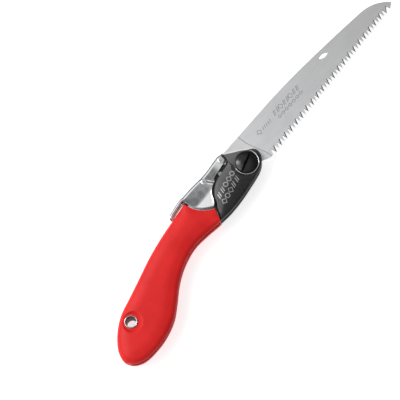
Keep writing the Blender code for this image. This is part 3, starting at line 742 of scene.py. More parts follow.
def make_blade(steel, facets):
    nose = [TIP, (189.4, 2.3), (184.6, 6.4), (179.4, 9.4), (173.8, 11.4), (168.0, 12.5)]
    spine = [(163.0, 13.1), (136.5, 15.9), (109.7, 18.3), (83.2, 20.2), (57.0, 21.1), (30.0, 21.2)]
    shoulder = smooth([(13.5, 21.2), (13.7, 11.6), (15.2, 5.7), (16.7, -0.3), (18.2, -5.4), (19.0, -11.9)], 5)
    rim_end = TANG_RADIUS * Vector((math.cos(TANG_RIM_END), math.sin(TANG_RIM_END)))
    under_tang = [rim_end * 0.86, (-5.0, -11.2), (2.0, -9.2), (8.0, -7.9), (12.0, -8.8)]
    heel = [(12.0, -8.8), (16.2, -11.0), (19.0, -11.9)]
    toe_of_heel = smooth([(19.0, -11.9), (21.0, -11.3), (22.2, -8.6)], 5)[1:]
    step = Vector((SHOULDER_RUN, 0))
    back = join(smooth(nose + spine, 6), [shoulder[0] + step])
    tang = join([shoulder[0], SPINE_END], tang_rim(), smooth(under_tang, 6), smooth(heel, 6))
    whole = back + tang + toe_of_heel + [Vector((23.6, -7.6))]
    insets = [n * EDGE_CHAMFER for n in corner_normals(whole)]
    stations = []
    for run, half in ((back, GROUND_HALF), (tang, BLADE_HALF), (toe_of_heel, GROUND_HALF)):
        stations += [station(p, p, half, inset) for p, inset in zip(run, insets[len(stations) :])]
    stations += tooth_stations()
    stations.append(station(TIP_CORNER, TIP_CORNER, GROUND_HALF))

    shape = Shape()
    for now, then in zip(stations, stations[1:] + stations[:1]):
        for i in range(3):
            shape.face(now[i], then[i], then[i + 1], now[i + 1])
    tang_start = len(back)
    tang_end = tang_start + len(tang)
    nail = lens(NAIL_HOLE, NAIL_HOLE_SIZE, NAIL_HOLE_ANGLE)
    bolt = circle(ORIGIN, BOLT_HOLE_RADIUS, 64)
    for side, column in ((1, 0), (-1, 3)):
        face = [s[column] for s in stations]
        ground, rooted, ahead = face[:tang_start], face[tang_start:tang_end], face[tang_end:]
        stepped = at_height([p + step for p in shoulder[1:-1]], side * GROUND_HALF)
        ground_line = [ground[-1], *stepped, ahead[0]]
        tang_line = [rooted[0], *at_height(shoulder[1:-1], side * BLADE_HALF), rooted[-1]]
        shape.strip(ground_line, tang_line, closed=False)
        outlines = ground[:-1] + ground_line + ahead[1:], rooted[:-1] + tang_line[::-1][:-1]
        for outline, hole, half in zip(outlines, (nail, bolt), (GROUND_HALF, BLADE_HALF)):
            upper = at_height(grown(hole, HOLE_CHAMFER), side * half)
            lower = at_height(hole, side * (half - HOLE_CHAMFER))
            shape.fill(outline, upper)
            shape.strip(upper, lower)
            shape.strip(lower, at_height(hole, 0))

    def on_tooth(face):
        x, y, _ = face.center / MM
        roots = FIRST_TOOTH.y + TOOTH_DEPTH + x * EDGE_RISE
        return x > FACETS_FROM and y < roots + FACETS_ABOVE_ROOTS and abs(face.normal.z) < 0.9

    return given(shape.thing("saw_blade", steel, math.radians(12)), facets, on_tooth)


def on_surface(outline, height, shift):
    """An outline laid on a surface; height is a number, or gives z at a point."""
    return [Vector((*p, (height(p) if callable(height) else height) + shift)) for p in outline]


def mark_bar(shape, centre, length, width, angle, z, height):
    outline = rectangle(centre, length, width, angle)
    shape.stack([on_surface(outline, z, 0.0), on_surface(outline, z, height)])


def mark_ring(shape, centre, radius, width, sides, angle, z, height):
    """A hollow polygon, or a ring when it has many sides."""
    turn = Matrix.Rotation(angle, 2)
    outer, inner = ([centre + turn @ p for p in circle((0, 0), r, sides)] for r in (radius, radius - width))
    loops = [(outer, 0.0), (outer, height), (inner, height), (inner, 0.0)]
    rings = [on_surface(outline, z, level) for outline, level in loops]
    for ring, following in zip(rings, rings[1:] + rings[:1]):
        shape.strip(ring, following)


ETCH_HEIGHT = 0.02


def make_etching(material):
    """Plain ornament where such a blade is etched: a row of bars, hollow diamonds and small dots."""
    shape = Shape()
    surface = (GROUND_HALF - 0.01, ETCH_HEIGHT)
    slant = math.radians(62)
    mark_ring(shape, Vector((28.5, 9.8)), 2.7, 0.9, 4, 0.1, *surface)
    for i in range(5):
        mark_bar(shape, Vector((33.4 + i * 2.2, 9.6 - 0.02 * i)), 3.4, 0.7, slant, *surface)
    for i in range(8):
        centre = Vector((49.5 + i * 4.2, 11.0 - 0.05 * i))
        if i % 3 == 2:
            mark_ring(shape, centre, 2.7, 0.8, 4, 0.0, *surface)
        else:
            mark_bar(shape, centre, 5.0, 0.8, slant, *surface)
            mark_bar(shape, centre + Vector((1.5, 0)), 5.0, 0.5, slant, *surface)
    for i in range(7):
        mark_ring(shape, Vector((50.5 + i * 4.6, 5.6 - 0.04 * i)), 1.5, 0.6, 12, 0.0, *surface)
        mark_bar(shape, Vector((52.8 + i * 4.6, 5.6 - 0.04 * i)), 1.6, 0.5, 0.0, *surface)
    return shape.thing("blade_etched_marks", material)


# ---------------------------------------------------------------- grip

GRIP_HALF = 10.0
GRIP_ARC_RADIUS = 25.0
GRIP_ROUNDING = 6.5
FRONT_ROUNDING = 1.2
ROUNDING_FADE = 9.0
SLOT_HALF = 2.35
BACK_STRAIGHT = 2.6
BELLY_STRAIGHT = 5.2
BELLY_VALLEY = 0.9
GRIP_CROWN = 1.1
GRIP_CROWN_RUN = 7.5
GRIP_TURN = math.radians(74)
PLATE_IN = 2.25
PLATE_OUT = 3.85
PLATE_EDGE = 0.25
FRONT_CHAMFER = (1.4, 0.17)
FLAT_NORMAL = 0.999
STOP_PINS = ("open_stop_pin", "closed_stop_pin")
RIVETS = ("frame_rivet_front", "frame_rivet_middle", "frame_rivet_rear")
COVER_IN = 4.15
FOLD_ANGLE = math.radians(JOINTS["blade_fold"]["range_deg"][0])
HANG_HOLE = node_centre("hang_hole_eyelet")
EYELET_TUBE_RADIUS = 5.0
DISH_RADIUS = 7.4
DISH_FLOOR = 8.2
EYELET_BORE = 4.4
EYELET_LIP = 5.5
EYELET_TOP = 9.1
BED_CLEARANCE = 0.4
PIN_CLEARANCE = 0.3


def folded(point):
    return turned_about(Vector(point), ORIGIN, FOLD_ANGLE)


def plate_outline():
    pin = locked_pin()
    slot_half = LOCK_PIN_RADIUS + PIN_CLEARANCE
    slot_top = 17.1
    front = [(-6.2, 20.7), (-0.5, 16.2), (5.4, 11.8), (9.0, 8.6), (12.2, 5.0), (13.3, 2.4)]
    tuck = [(13.3, 2.4), (12.6, 0.2), (10.6, -2.8), (7.6, -6.0), (3.2, -8.6), (-3.0, -10.6)]
    belly = [(-15.4, -12.7), (-28.0, -14.1), (-41.0, -14.2), (-52.5, -13.4), (-70.0, -10.9)]
    rear_belly = [(-81.0, -10.1), (-91.0, -11.3), (-103.0, -14.9), (-111.0, -18.4)]
    rear = [(-113.4, -17.0), (-113.4, -6.0), (-110.0, 3.4)]
    back = [(-110.0, 3.4), (-95.0, 8.2), (-75.0, 11.0), (-63.0, 12.4)]
    return join(
        smooth(front, 6),
        smooth(tuck + belly + rear_belly, 4),
        rear,
        smooth(back, 4),
        [(-59.6, 13.4), (-57.6, 17.6), (-40.0, 17.8), (-34.0, slot_top), (LOCK_PIN.x - slot_half, slot_top)],
        arc(pin, slot_half, math.pi, math.tau, 16),
        [(pin.x + slot_half, 20.6), (-9.2, 21.5), (-7.6, 21.5)],
    )


def grip_outline():
    """Points of the grip's side view, each with its edge rounding and its share of the belly's shape."""
    belly = [(-52.7, -16.9), (-57.6, -16.4), (-70.1, -14.6), (-80.9, -13.8), (-90.9, -15.1)]
    palm = [(-103.4, -18.8), (-116.0, -25.1), (-128.5, -33.6), (-141.0, -41.0), (-156.0, -45.3)]
    tail = [(-169.5, -46.2), (-181.5, -44.8), (-189.4, -40.2), (-193.0, -33.0), (-190.3, -24.3)]
    heel = [(-183.0, -16.0), (-174.0, -9.4), (-164.3, -4.7), (-148.0, -0.4), (-131.4, 4.1)]
    front_arc = arc(LEVER_PIVOT, GRIP_ARC_RADIUS, math.radians(178.5), math.radians(243.4), 40)
    back = [(-115.0, 8.6), (-95.0, 12.5), (-75.0, 15.0), front_arc[0]]
    steps = 8
    rounded = smooth(belly + palm + tail + heel + back, steps)
    outline = join(rounded, front_arc, [(-49.9, -11.0)])
    belly_end = steps * len(belly + palm)
    fade_end = belly_end + steps * 4
    rows = []
    for i, point in enumerate(outline):
        if (point - LEVER_PIVOT).length < GRIP_ARC_RADIUS + 0.05 or i == len(outline) - 1:
            rows.append((FRONT_ROUNDING, 0.0))
            continue
        from_front = min((point - end).length for end in (Vector(belly[0]), front_arc[0]))
        more = (GRIP_ROUNDING - FRONT_ROUNDING) * ramp(from_front / ROUNDING_FADE, 0, 1)
        rows.append((FRONT_ROUNDING + more, 1 - ramp(i, belly_end, fade_end)))
    return outline, rows


def crown_height(depth, run, drop):
    """How far the surface is under the top of a crown, at a depth inside the crown's edge."""
    short = 1 - min(max(depth / run, 0.0), 1.0)
    return drop * short * short


def grip_half_shape(outline, rows):
    """Loops of the right half, from the middle plane up to where the crown begins."""
    wall_steps = 5
    round_steps = 10
    top = GRIP_HALF - GRIP_CROWN
    loops = []
    for step in range(wall_steps + round_steps + 1):
        wall = min(step / wall_steps, 1.0)
        angle = GRIP_TURN * max(step - wall_steps, 0) / round_steps

        def rule(index, _):
            rounding, belly = rows[index]
            straight = BACK_STRAIGHT + (BELLY_STRAIGHT - BACK_STRAIGHT) * belly
            z = straight * wall + (top - straight) * math.sin(angle) / math.sin(GRIP_TURN)
            valley = BELLY_VALLEY * belly * (1 - ramp(z, 1.6, BELLY_STRAIGHT))
            return valley + rounding * (1 - math.cos(angle)), z

        loops.append(inset_loop(outline, rule))
    return loops


def dish_profile():
    """The soft hollow round the hang hole, from the bore outwards."""
    rim = DISH_RADIUS + 2.2
    start = DISH_RADIUS - 0.5
    steps = 10
    profile = [(EYELET_TUBE_RADIUS + PIN_CLEARANCE, DISH_FLOOR), (start, DISH_FLOOR)]
    for step in range(steps + 1):
        t = step / steps
        profile.append((start + (rim - start) * t, DISH_FLOOR + (GRIP_HALF + 0.05 - DISH_FLOOR) * t**0.8))
    return profile + [(rim, GRIP_HALF + 1), (0, GRIP_HALF + 1)]


def blade_slot_outline():
    past_teeth = Vector((0, -1.2))
    start = folded(Vector((18, tooth_tip(0).y - 0.3)) + past_teeth)
    corner = folded(TIP_CORNER + past_teeth)
    end = folded(TIP + Vector((0.9, -0.9)))
    floor = -60
    return [start, corner, end, Vector((end.x, floor)), Vector((start.x, floor))]


def make_grip(material):
    outline, rows = grip_outline()
    loops = grip_half_shape(outline, rows)
    mirrored = [[Vector((p.x, p.y, -p.z)) for p in loop] for loop in loops]
    edge = [p.to_2d() for p in loops[-1]]

    def right(point):
        return GRIP_HALF - crown_height(depth_inside(point, edge), GRIP_CROWN_RUN, GRIP_CROWN)

    def left(point):
        return -right(point)

    shape = Shape()
    shape.stack(mirrored[::-1] + loops[1:], capped=False)
    shape.crown(loops[-1], right, 2.2)
    shape.crown(mirrored[-1], left, 2.2)
    grip = shape.thing("grip_rubber", material)
    bed = slab("cutter_bed", grown(plate_outline(), BED_CLEARANCE), -COVER_IN, COVER_IN)
    blade_slot = slab("cutter_slot", blade_slot_outline(), -SLOT_HALF, SLOT_HALF)
    hole = turned("cutter_hang_hole", HANG_HOLE, both_sides(dish_profile()))
    return resharpen(carved(grip, bed, blade_slot, hole), math.radians(32))


def make_eyelet(material, lining):
    low = DISH_FLOOR + 0.3
    upper = [(EYELET_TUBE_RADIUS, low), (EYELET_LIP, low)] + bead(EYELET_BORE, EYELET_LIP, EYELET_TOP, 10)
    ring = turned("hang_hole_ring", HANG_HOLE, both_sides(upper), material)
    # The bore's faces take the grip's red rubber, its tones darkened as painted shade inside the hole.
    return given(ring, lining, lambda face: abs(face.center.z - PIVOT.z) < low * MM)


# ---------------------------------------------------------------- front covers

COVER_FRONT_X = 14.0
COVER_FRONT_HALF = 7.5
COVER_SWELL = 0.029
COVER_ROUNDING = 1.3
COVER_LEAN = 0.7
COVER_TURN = math.radians(72)
COVER_CROWN = 0.7
COVER_CROWN_REAR = 1.4
COVER_CROWN_RUN = 10.5
LIP_IN = 2.35
RECESS_RADIUS = 11.2
RECESS_FLOOR = 5.0
MARK_SUNK = 0.35
MARK_HEIGHT = 0.55
HUB_RADIUS = 7.2
NUT_FLANGE_RADIUS = 8.7


def cover_outline():
    belly = [(-52.4, -16.6), (-41.0, -17.6), (-28.0, -17.3), (-15.3, -15.9), (-2.2, -13.8), (4.9, -11.8)]
    front = [(9.9, -8.7), (13.2, -4.3), (COVER_FRONT_X + 0.3, 0.2), (12.6, 3.7), (8.2, 7.2)]
    slope = [(8.2, 7.2), (4.4, 10.6), (-1.5, 14.9), (-7.2, 19.2)]
    lever_gap = [(-8.2, 14.6), (-10.2, 11.8), (-18.8, 10.3), (-27.4, 8.9)]
    lever_side = [(-31.7, 7.5), (-36.0, 5.0), (-40.4, 1.2), (-43.9, -3.6), (-46.6, -6.2)]
    lever_edge = smooth(lever_gap + lever_side, 5)
    return join(smooth(belly + front, 8), smooth(slope, 5), lever_edge, [(-49.3, -10.8)])


def cover_height(x):
    return COVER_FRONT_HALF + COVER_SWELL * (COVER_FRONT_X - x)


def cover_wall(point):
    """How far a cover's side leans in under its widest level: most at the belly, none beside the lever."""
    facing_belly = ramp(-point.y, -2.0, 9.0)
    at_front = ramp(point.x, 6.0, 12.0) * ramp(-point.y, -8.0, 0.0)
    return max(facing_belly, at_front)


def cover_edge():
    """The line where a cover's rounded edge ends and its crowned top begins."""
    outline = cover_outline()
    return [p - n * cover_inset(p, COVER_TURN) for p, n in zip(outline, corner_normals(outline))]


def cover_inset(point, angle):
    wall = cover_wall(point)
    return COVER_ROUNDING * (1 - math.cos(angle)) + COVER_LEAN * wall * math.sin(angle)


def cover_crown(x):
    """How much lower a cover's edge is than its middle: little round the bolt, more beside the lever."""
    return COVER_CROWN + COVER_CROWN_REAR * ramp(-x, -2.0, 12.0)


def cover_top(point, edge):
    """The height of a cover's crowned top."""
    short = 1 - min(depth_inside(point, edge) / COVER_CROWN_RUN, 1.0)
    return cover_height(point.x) - cover_crown(point.x) * short**1.5


def cover_loops(side):
    outline = cover_outline()
    loops = [
        inset_loop(outline, lambda _, point: (COVER_LEAN * 0.5 * cover_wall(point), side * LIP_IN)),
        at_height(outline, side * (LIP_IN + 1.0)),
    ]
    steps = 8
    for step in range(steps + 1):
        angle = COVER_TURN * step / steps
        short = 1 - math.sin(angle) / math.sin(COVER_TURN)

        def rule(_, point):
            drop = COVER_ROUNDING * (1 + 0.5 * cover_wall(point)) * short

            def height(spot):
                return side * (cover_height(spot.x) - cover_crown(spot.x) - drop)

            return cover_inset(point, angle), height

        loops.append(inset_loop(outline, rule))
    return loops


def recess_cutter():
    """The teardrop hollow round the bolt, open along the ramp at the front, with a long slope at its rear."""
    steps = 60
    low = arc(ORIGIN, RECESS_RADIUS, math.radians(142), math.radians(375), steps)
    high = []
    for i, point in enumerate(low):
        rear = 1 - ramp(i / steps, 0.0, 0.42)
        high.append(point.normalized() * (RECESS_RADIUS + 0.9 + 6.5 * rear))
    low += [Vector((20.0, 6.0)), Vector((4.0, 26.0)), Vector((-9.5, 26.0)), Vector((-9.2, 12.0))]
    high += [Vector((21.0, 6.0)), Vector((4.0, 26.5)), Vector((-16.5, 26.5)), Vector((-16.0, 12.0))]
    shape = Shape()
    shape.stack([at_height(low, RECESS_FLOOR), at_height(high, GRIP_HALF + 0.5)])
    return shape.thing("cutter_recess")


def make_cover(name, side, material):
    loops = cover_loops(side)
    edge = cover_edge()

    def top(point):
        return side * cover_top(point, edge)

    shape = Shape()
    shape.stack(loops, capped=False)
    shape.face(*loops[0])
    shape.crown(loops[-1], top, 1.5)
    cover = shape.thing(name, material)
    bed = grown(plate_outline(), BED_CLEARANCE)
    cutters = [slab("cutter_bed", bed, side * (LIP_IN - 1), side * COVER_IN)]
    if side > 0:
        cutters.append(recess_cutter())
    hole_radius = (HUB_RADIUS if side > 0 else NUT_FLANGE_RADIUS) + PIN_CLEARANCE
    cutters.append(rod("cutter_bolt", ORIGIN, hole_radius, -20, 20, steps=96))
    return resharpen(carved(cover, *cutters), math.radians(28))


def make_cover_marks(material):
    """Two rows of raised ornament on the right cover: hollow diamonds, rings and short bars."""
    shape = Shape()
    lean = math.radians(12.0)
    slant = lean + math.radians(62)
    across = Vector((-math.sin(lean), math.cos(lean)))
    along = Vector((math.cos(lean), math.sin(lean)))
    start = Vector((-38.2, -8.4))
    pattern = "d/o/d//o/"
    edge = cover_edge()

    def base(point):
        return cover_top(point, edge) - MARK_SUNK

    for row in range(2):
        for i in range(5):
            centre = start + along * (5.4 * i + 2.4 * row) + across * (6.0 * row)
            kind = pattern[(2 * i + row * 3) % len(pattern)]
            if kind == "d":
                mark_ring(shape, centre, 2.75, 0.75, 4, lean, base, MARK_HEIGHT)
            elif kind == "o":
                mark_ring(shape, centre, 2.25, 0.7, 24, lean, base, MARK_HEIGHT)
            else:
                mark_bar(shape, centre - along, 4.6, 0.75, slant, base, MARK_HEIGHT)
                mark_bar(shape, centre + along, 4.6, 0.75, slant, base, MARK_HEIGHT)
    return shape.thing("cover_raised_marks", material)


# ---------------------------------------------------------------- pivot hardware

SHANK_RADIUS = 3.8
SHANK_END = -7.6
HEAD_RADIUS = 9.7
HEAD_LOW = 5.35
HEAD_EDGE = 6.5
HEAD_TOP = 8.9
SLOT_WIDTH = 1.9
SLOT_DEPTH = 2.3
SLOT_ANGLE = math.radians(17)
RING_WIDTH = 0.9
RING_TOP = 6.5
RING_START = math.radians(163)
RING_END = math.radians(383)
NUT_FLANGE_TOP = 5.1
NUT_FLANGE_LOW = 6.6
NUT_HEX_RADIUS = 7.5
NUT_BEVEL = 0.6
THREAD_END = -8.2


def make_bolt(material, slot_material):
    rise = HEAD_TOP - HEAD_EDGE
    dome_radius = (HEAD_RADIUS**2 + rise**2) / (2 * rise)
    reach = math.asin((HEAD_RADIUS - 0.3) / dome_radius)
    profile = [
        (0, SHANK_END),
        (SHANK_RADIUS, SHANK_END),
        (SHANK_RADIUS, COVER_IN),
        (HUB_RADIUS, COVER_IN),
        (HUB_RADIUS, HEAD_LOW),
        (HEAD_RADIUS, HEAD_LOW),
        (HEAD_RADIUS, HEAD_EDGE - 0.35),
        (HEAD_RADIUS - 0.08, HEAD_EDGE - 0.1),
        *arc((0, HEAD_TOP - dome_radius), dome_radius, QUARTER - reach, QUARTER, 18)[:-1],
        (0, HEAD_TOP),
    ]
    bolt = turned("bolt_head", ORIGIN, profile, material, 128)
    slot = rectangle(ORIGIN, 2.4 * HEAD_RADIUS, SLOT_WIDTH, SLOT_ANGLE)
    cutter = slab("cutter_driver_slot", slot, HEAD_TOP - SLOT_DEPTH, HEAD_TOP + 1, slot_material)
    return resharpen(carved(bolt, cutter), math.radians(30))


def make_nut(material, threads):
    """A closed hexagon nut with a flange; its outer face is the flat that the saw rests on."""
    flange = [
        (0, -NUT_FLANGE_LOW - 0.5),
        (NUT_HEX_RADIUS - 0.9, -NUT_FLANGE_LOW - 0.5),
        (NUT_FLANGE_RADIUS - 0.25, -NUT_FLANGE_LOW - 0.05),
        (NUT_FLANGE_RADIUS, -NUT_FLANGE_LOW + 0.2),
        (NUT_FLANGE_RADIUS, -NUT_FLANGE_TOP - 0.2),
        (NUT_FLANGE_RADIUS - 0.2, -NUT_FLANGE_TOP),
        (0, -NUT_FLANGE_TOP),
    ]
    nut = turned("flange_nut", ORIGIN, flange, material)
    hexagon = circle((0, 0), NUT_HEX_RADIUS, 6)
    bevelled = at_height(grown(hexagon, -NUT_BEVEL * 0.87), -GRIP_HALF)
    body = Shape()
    body.stack([bevelled] + [at_height(hexagon, z) for z in (-GRIP_HALF + NUT_BEVEL, -NUT_FLANGE_TOP - 0.4)])
    carved(nut, body.thing("adder_hexagon"), operation="UNION")
    carved(nut, rod("cutter_thread", ORIGIN, SHANK_RADIUS + PIN_CLEARANCE, THREAD_END, 0, threads, 64))
    return resharpen(nut, math.radians(28))


def make_seat_ring(material):
    outer = RECESS_RADIUS - 0.2
    inner = outer - RING_WIDTH
    low = RECESS_FLOOR + 0.3
    profile = [(inner, low), (outer, low)] + bead(inner, outer, RING_TOP, 8)
    shape = Shape()
    directions = arc(ORIGIN, 1, RING_START, RING_END, 96)
    shape.stack([[Vector((*(direction * radius), z)) for radius, z in profile] for direction in directions])
    return shape.thing("bolt_bright_ring", material)


# ---------------------------------------------------------------- lock lever

ARM_HALF = 5.3
WING_HALF = 6.5
WING_FLARE = 0.2
WING_FLARE_TOP = 6.5
WING_RADIUS = 23.8
FLARE_SOFT = 4.0
ARM_RISE = 0.5
HEM_RISE = 0.45
HEM_RUN = 1.3
WING_CAMBER = 0.25
LEVER_SHEET = 1.1
LEVER_BEND = 4.2
TAIL_FLANGE = 3.5
TAIL_BEND = 2.8
LEVER_PIN_RADIUS = 1.7
RIVET_OVERHANG = 0.9
RIVET_RISE = 0.4
ARM_END = -47.6
WING_END = -59.8
LEVER_TOP = [(-9.6, 23.1), (-10.7, 23.5), (-12.2, 23.6), (-20.0, 22.8), (-27.0, 22.0), (-36.0, 21.9)]
LEVER_TOP += [(-47.0, 22.5), (-60.6, 22.4), (-69.0, 21.4), (-76.5, 19.9), (-77.6, 19.4)]
ARM_LOW = [(-9.6, 16.4), (-9.9, 15.7), (-10.7, 15.1), (-14.3, 14.2), (-23.0, 12.6), (-28.4, 11.6)]
ARM_LOW += [(-29.6, 9.9), (-33.5, 8.6), (-37.5, 6.2), (-40.8, 2.5), (-44.3, -2.3), (-46.0, -3.8)]
ARM_LOW += [(ARM_END, -4.6)]


def between(points, x):
    """The height at x of the curve through points, which are in order of falling x."""
    for (x0, y0), (x1, y1) in zip(points, points[1:]):
        if x >= x1:
            return y0 + (y1 - y0) * min(max((x - x0) / (x1 - x0), 0.0), 1.0)
    return points[-1][1]


TOP_CURVE = [tuple(p) for p in smooth(LEVER_TOP, 10)]
LOW_CURVE = [tuple(p) for p in smooth(ARM_LOW, 10)]


def lever_stations():
    """Places along the lever, closer together where its outline turns."""
    stations = [-9.6, -9.7, -9.9, -10.2, -10.7, -11.4, -12.2]
    x = -13.0
    while x > -76.8:
        stations.append(round(x, 3))
        fine = -31.5 < x < -27.5 or -61.0 < x < -57.0
        x -= 0.35 if fine else 0.8
    return stations + [-77.1, -77.4, -77.6]


def lever_low(x):
    if x >= ARM_END:
        return between(LOW_CURVE, x)
    if x >= WING_END:
        reach = x - LEVER_PIVOT.x
        return LEVER_PIVOT.y - math.sqrt(max(WING_RADIUS**2 - reach * reach, 0.0))
    return between(TOP_CURVE, x) - TAIL_FLANGE


def lever_half(x, y):
    """Half the outer width of the lever at a point of its side."""
    crease = 31.5 + 0.55 * (y - 9.0)
    wing = ramp(-x, crease - 1.6, crease + 1.6)
    below = max(WING_FLARE_TOP + FLARE_SOFT / 2 - y, 0.0)
    flare = WING_FLARE * (below - FLARE_SOFT / 2 if below > FLARE_SOFT else below**2 / (2 * FLARE_SOFT))
    arm = ARM_HALF + ARM_RISE * ramp(-x, 10.5, 23.0)
    above_rim = y - lever_low(x)
    hem = HEM_RISE * max(1 - above_rim / HEM_RUN, 0.0) ** 2 if WING_END < x < -38.0 else 0.0
    camber = WING_CAMBER * (1 - ((y - 9.5) / 9.0) ** 2) * (1 - ((x + 47.0) / 13.0) ** 2)
    return arm + (WING_HALF - ARM_HALF - ARM_RISE + flare + max(camber, 0.0) + hem) * wing


def lever_section(x):
    """Outer and inner points of one cross-section, from the lower right edge over to the lower left."""
    low = lever_low(x)
    bend = LEVER_BEND + (TAIL_BEND - LEVER_BEND) * ramp(-x, 57.0, 61.0)
    spring_line = between(TOP_CURVE, x) - bend
    side_steps = 16
    heights = [low + (spring_line - low) * step / side_steps for step in range(side_steps)]
    half = lever_half(x, spring_line)
    section = []
    for thickness in (0, LEVER_SHEET):
        points = [(y, lever_half(x, y) - thickness) for y in heights]
        quarter = arc((0, 0), 1, 0, QUARTER, 14)
        radius = bend - thickness
        points += [(spring_line + radius * p.y, half - bend + radius * p.x) for p in quarter]
        points += [(y, -z) for y, z in reversed(points)]
        section.append([(x, y, z) for y, z in points])
    return section


def make_lever(material):
    """A sheet-metal channel: front arms for the lock pin, a wing on each side, and the thumb's tail."""
    shape = Shape()
    sections = [lever_section(x) for x in lever_stations()]
    for (outer, inner), (outer_next, inner_next) in zip(sections, sections[1:]):
        shape.strip(outer, outer_next, closed=False)
        shape.strip(inner, inner_next, closed=False)
        for end in (0, -1):
            shape.face(outer[end], outer_next[end], inner_next[end], inner[end])
    for outer, inner in (sections[0], sections[-1]):
        shape.strip(outer, inner, closed=False)
    lever = shape.thing("lock_lever_sheet", material)
    web_front = -11.6
    horn_gap = [Vector(p) for p in ((web_front, 17), (web_front, 30), (0, 30), (0, 17))]
    carved(
        lever,
        slab("cutter_horn_gap", horn_gap, -4.18, 4.18),
        rod("cutter_lever_pivot", LEVER_PIVOT, LEVER_PIN_RADIUS + PIN_CLEARANCE, -20, 20),
        rod("cutter_lock_pin", LOCK_PIN, LOCK_PIN_RADIUS + PIN_CLEARANCE, -20, 20),
    )
    return soften(resharpen(lever, math.radians(40)), 0.22, 3, math.radians(50))


def riveted_pin(name, centre, radius, half, material):
    """A pin with a low round head on each end."""
    head = radius + RIVET_OVERHANG
    dome = [(head * p.x, half + RIVET_RISE * p.y) for p in arc((0, 0), 1, 0, QUARTER, 8)]
    return turned(name, centre, both_sides([(radius, half)] + dome), material, 64)


# ---------------------------------------------------------------- frame plates


def make_plate(name, side, material, face_material):
    outline = plate_outline()
    loops = [
        at_height(grown(outline, -PLATE_EDGE), side * PLATE_IN),
        at_height(outline, side * (PLATE_IN + PLATE_EDGE)),
    ]
    for share in (0.0, 1.0):

        def rule(_, p):
            beside_bolt = p.x > -6.5 and p.y > 4.0
            run, rise = FRONT_CHAMFER if beside_bolt else (PLATE_EDGE, PLATE_EDGE)
            return run * share, side * (PLATE_OUT - rise * (1 - share))

        loops.append(inset_loop(outline, rule))
    shape = Shape()
    shape.stack(loops)
    holes = [(ORIGIN, SHANK_RADIUS)]
    for node in (*STOP_PINS, *RIVETS):
        low, high = node_box(node)
        holes.append((node_centre(node), (high.x - low.x) / 2))
    holes.append((LEVER_PIVOT, LEVER_PIN_RADIUS))
    cutters = [rod(f"cutter_{i}", p, radius + PIN_CLEARANCE, -9, 9) for i, (p, radius) in enumerate(holes)]
    plate = carved(shape.thing(name, material), *cutters)
    # The flat faces get the liners' painted shade.
    given(plate, face_material, lambda face: abs(face.normal.z) > FLAT_NORMAL)
    return resharpen(plate, math.radians(30))


# ---------------------------------------------------------------- studio

LOOK_AT = PIVOT + Vector((-49.0, 9.7, 0.0)) * MM
CAMERA_SIDE = Vector((-0.1926, -0.2217, 1.0))
CAMERA_DISTANCE = 1250 * MM
CAMERA_UP = Vector((0.7604, 0.6494, 0.0))
CAMERA_LENS = 134.4
DIM_DIRECTION = Vector((0.10, 0.20, 0.97)).normalized()
DIM_INNER = math.radians(6)
DIM_OUTER = math.radians(15)
DIM_COLOUR = (0.14, 0.147, 0.155)
OVERHEAD_DIRECTION = Vector((-0.25, 0.32, 0.91)).normalized()
OVERHEAD_INNER = math.radians(36)
OVERHEAD_OUTER = math.radians(58)
OVERHEAD_COLOUR = grey(0.86)
SIDES_COLOUR = (0.10, 0.102, 0.105)
FLOOR_GLOW = 0.72
FLOOR_HALF = 3.0
LAMP_DISTANCE = 1.1


def make_floor():
    """A pale floor that glows a little, just under the saw so that no two faces lie in one plane."""
    low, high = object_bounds()
    corners = rectangle(((low + high) / 2).to_2d(), 2 * FLOOR_HALF, 2 * FLOOR_HALF, 0)
    mesh = bpy.data.meshes.new("floor")
    mesh.from_pydata(at_height(corners, low.z - 0.1 * MM), [], [(0, 1, 2, 3)])
    n = Surface("pale_floor")
    cloud = n.spread(n.noise(0.004, 2.0), 0.0, 1.0)
    n.shader.inputs["Emission Color"].default_value = (1, 1, 1, 1)
    n.shader.inputs["Emission Strength"].default_value = FLOOR_GLOW
    n.shader.inputs["Roughness"].default_value = 0.85
    n.shader.inputs["Specular IOR Level"].default_value = 0.1
    n.link(n.mix(cloud, grey(0.64), grey(0.61)), n.shader.inputs["Base Color"])
    mesh.materials.append(n.material)
    linked("floor", mesh)


def make_world():
    """A studio that is bright overhead, with a dim spot there that the polished parts mirror."""
    world = bpy.data.worlds.new("studio")
    bpy.context.scene.world = world
    world.use_nodes = True
    sky = Tree(world.node_tree, "Generated")

    def patch(direction, inner, outer):
        """1 within the inner angle of a direction, falling to 0 at the outer one."""
        dot = sky.add("ShaderNodeVectorMath", operation="DOT_PRODUCT")
        dot.inputs[1].default_value = direction
        sky.link(sky.place, dot.inputs[0])
        edges = math.cos(outer), math.cos(inner)
        return sky.spread(dot.outputs["Value"], 0.0, 1.0, *edges, interpolation_type="SMOOTHSTEP")

    lit = sky.mix(patch(OVERHEAD_DIRECTION, OVERHEAD_INNER, OVERHEAD_OUTER), SIDES_COLOUR, OVERHEAD_COLOUR)
    dimmed = sky.mix(patch(DIM_DIRECTION, DIM_INNER, DIM_OUTER), lit, DIM_COLOUR)
    sky.link(dimmed, sky.tree.nodes["Background"].inputs["Color"])


def make_light(name, direction, width, depth, power):
    light = bpy.data.lights.new(name, "AREA")
    light.shape = "RECTANGLE"
    light.size = width
    light.size_y = depth
    light.energy = power
    lamp = linked(name, light)
    away = Vector(direction).normalized()
    lamp.location = LOOK_AT + away * LAMP_DISTANCE
    lamp.rotation_mode = "QUATERNION"
    lamp.rotation_quaternion = away.to_track_quat("Z", "Y")


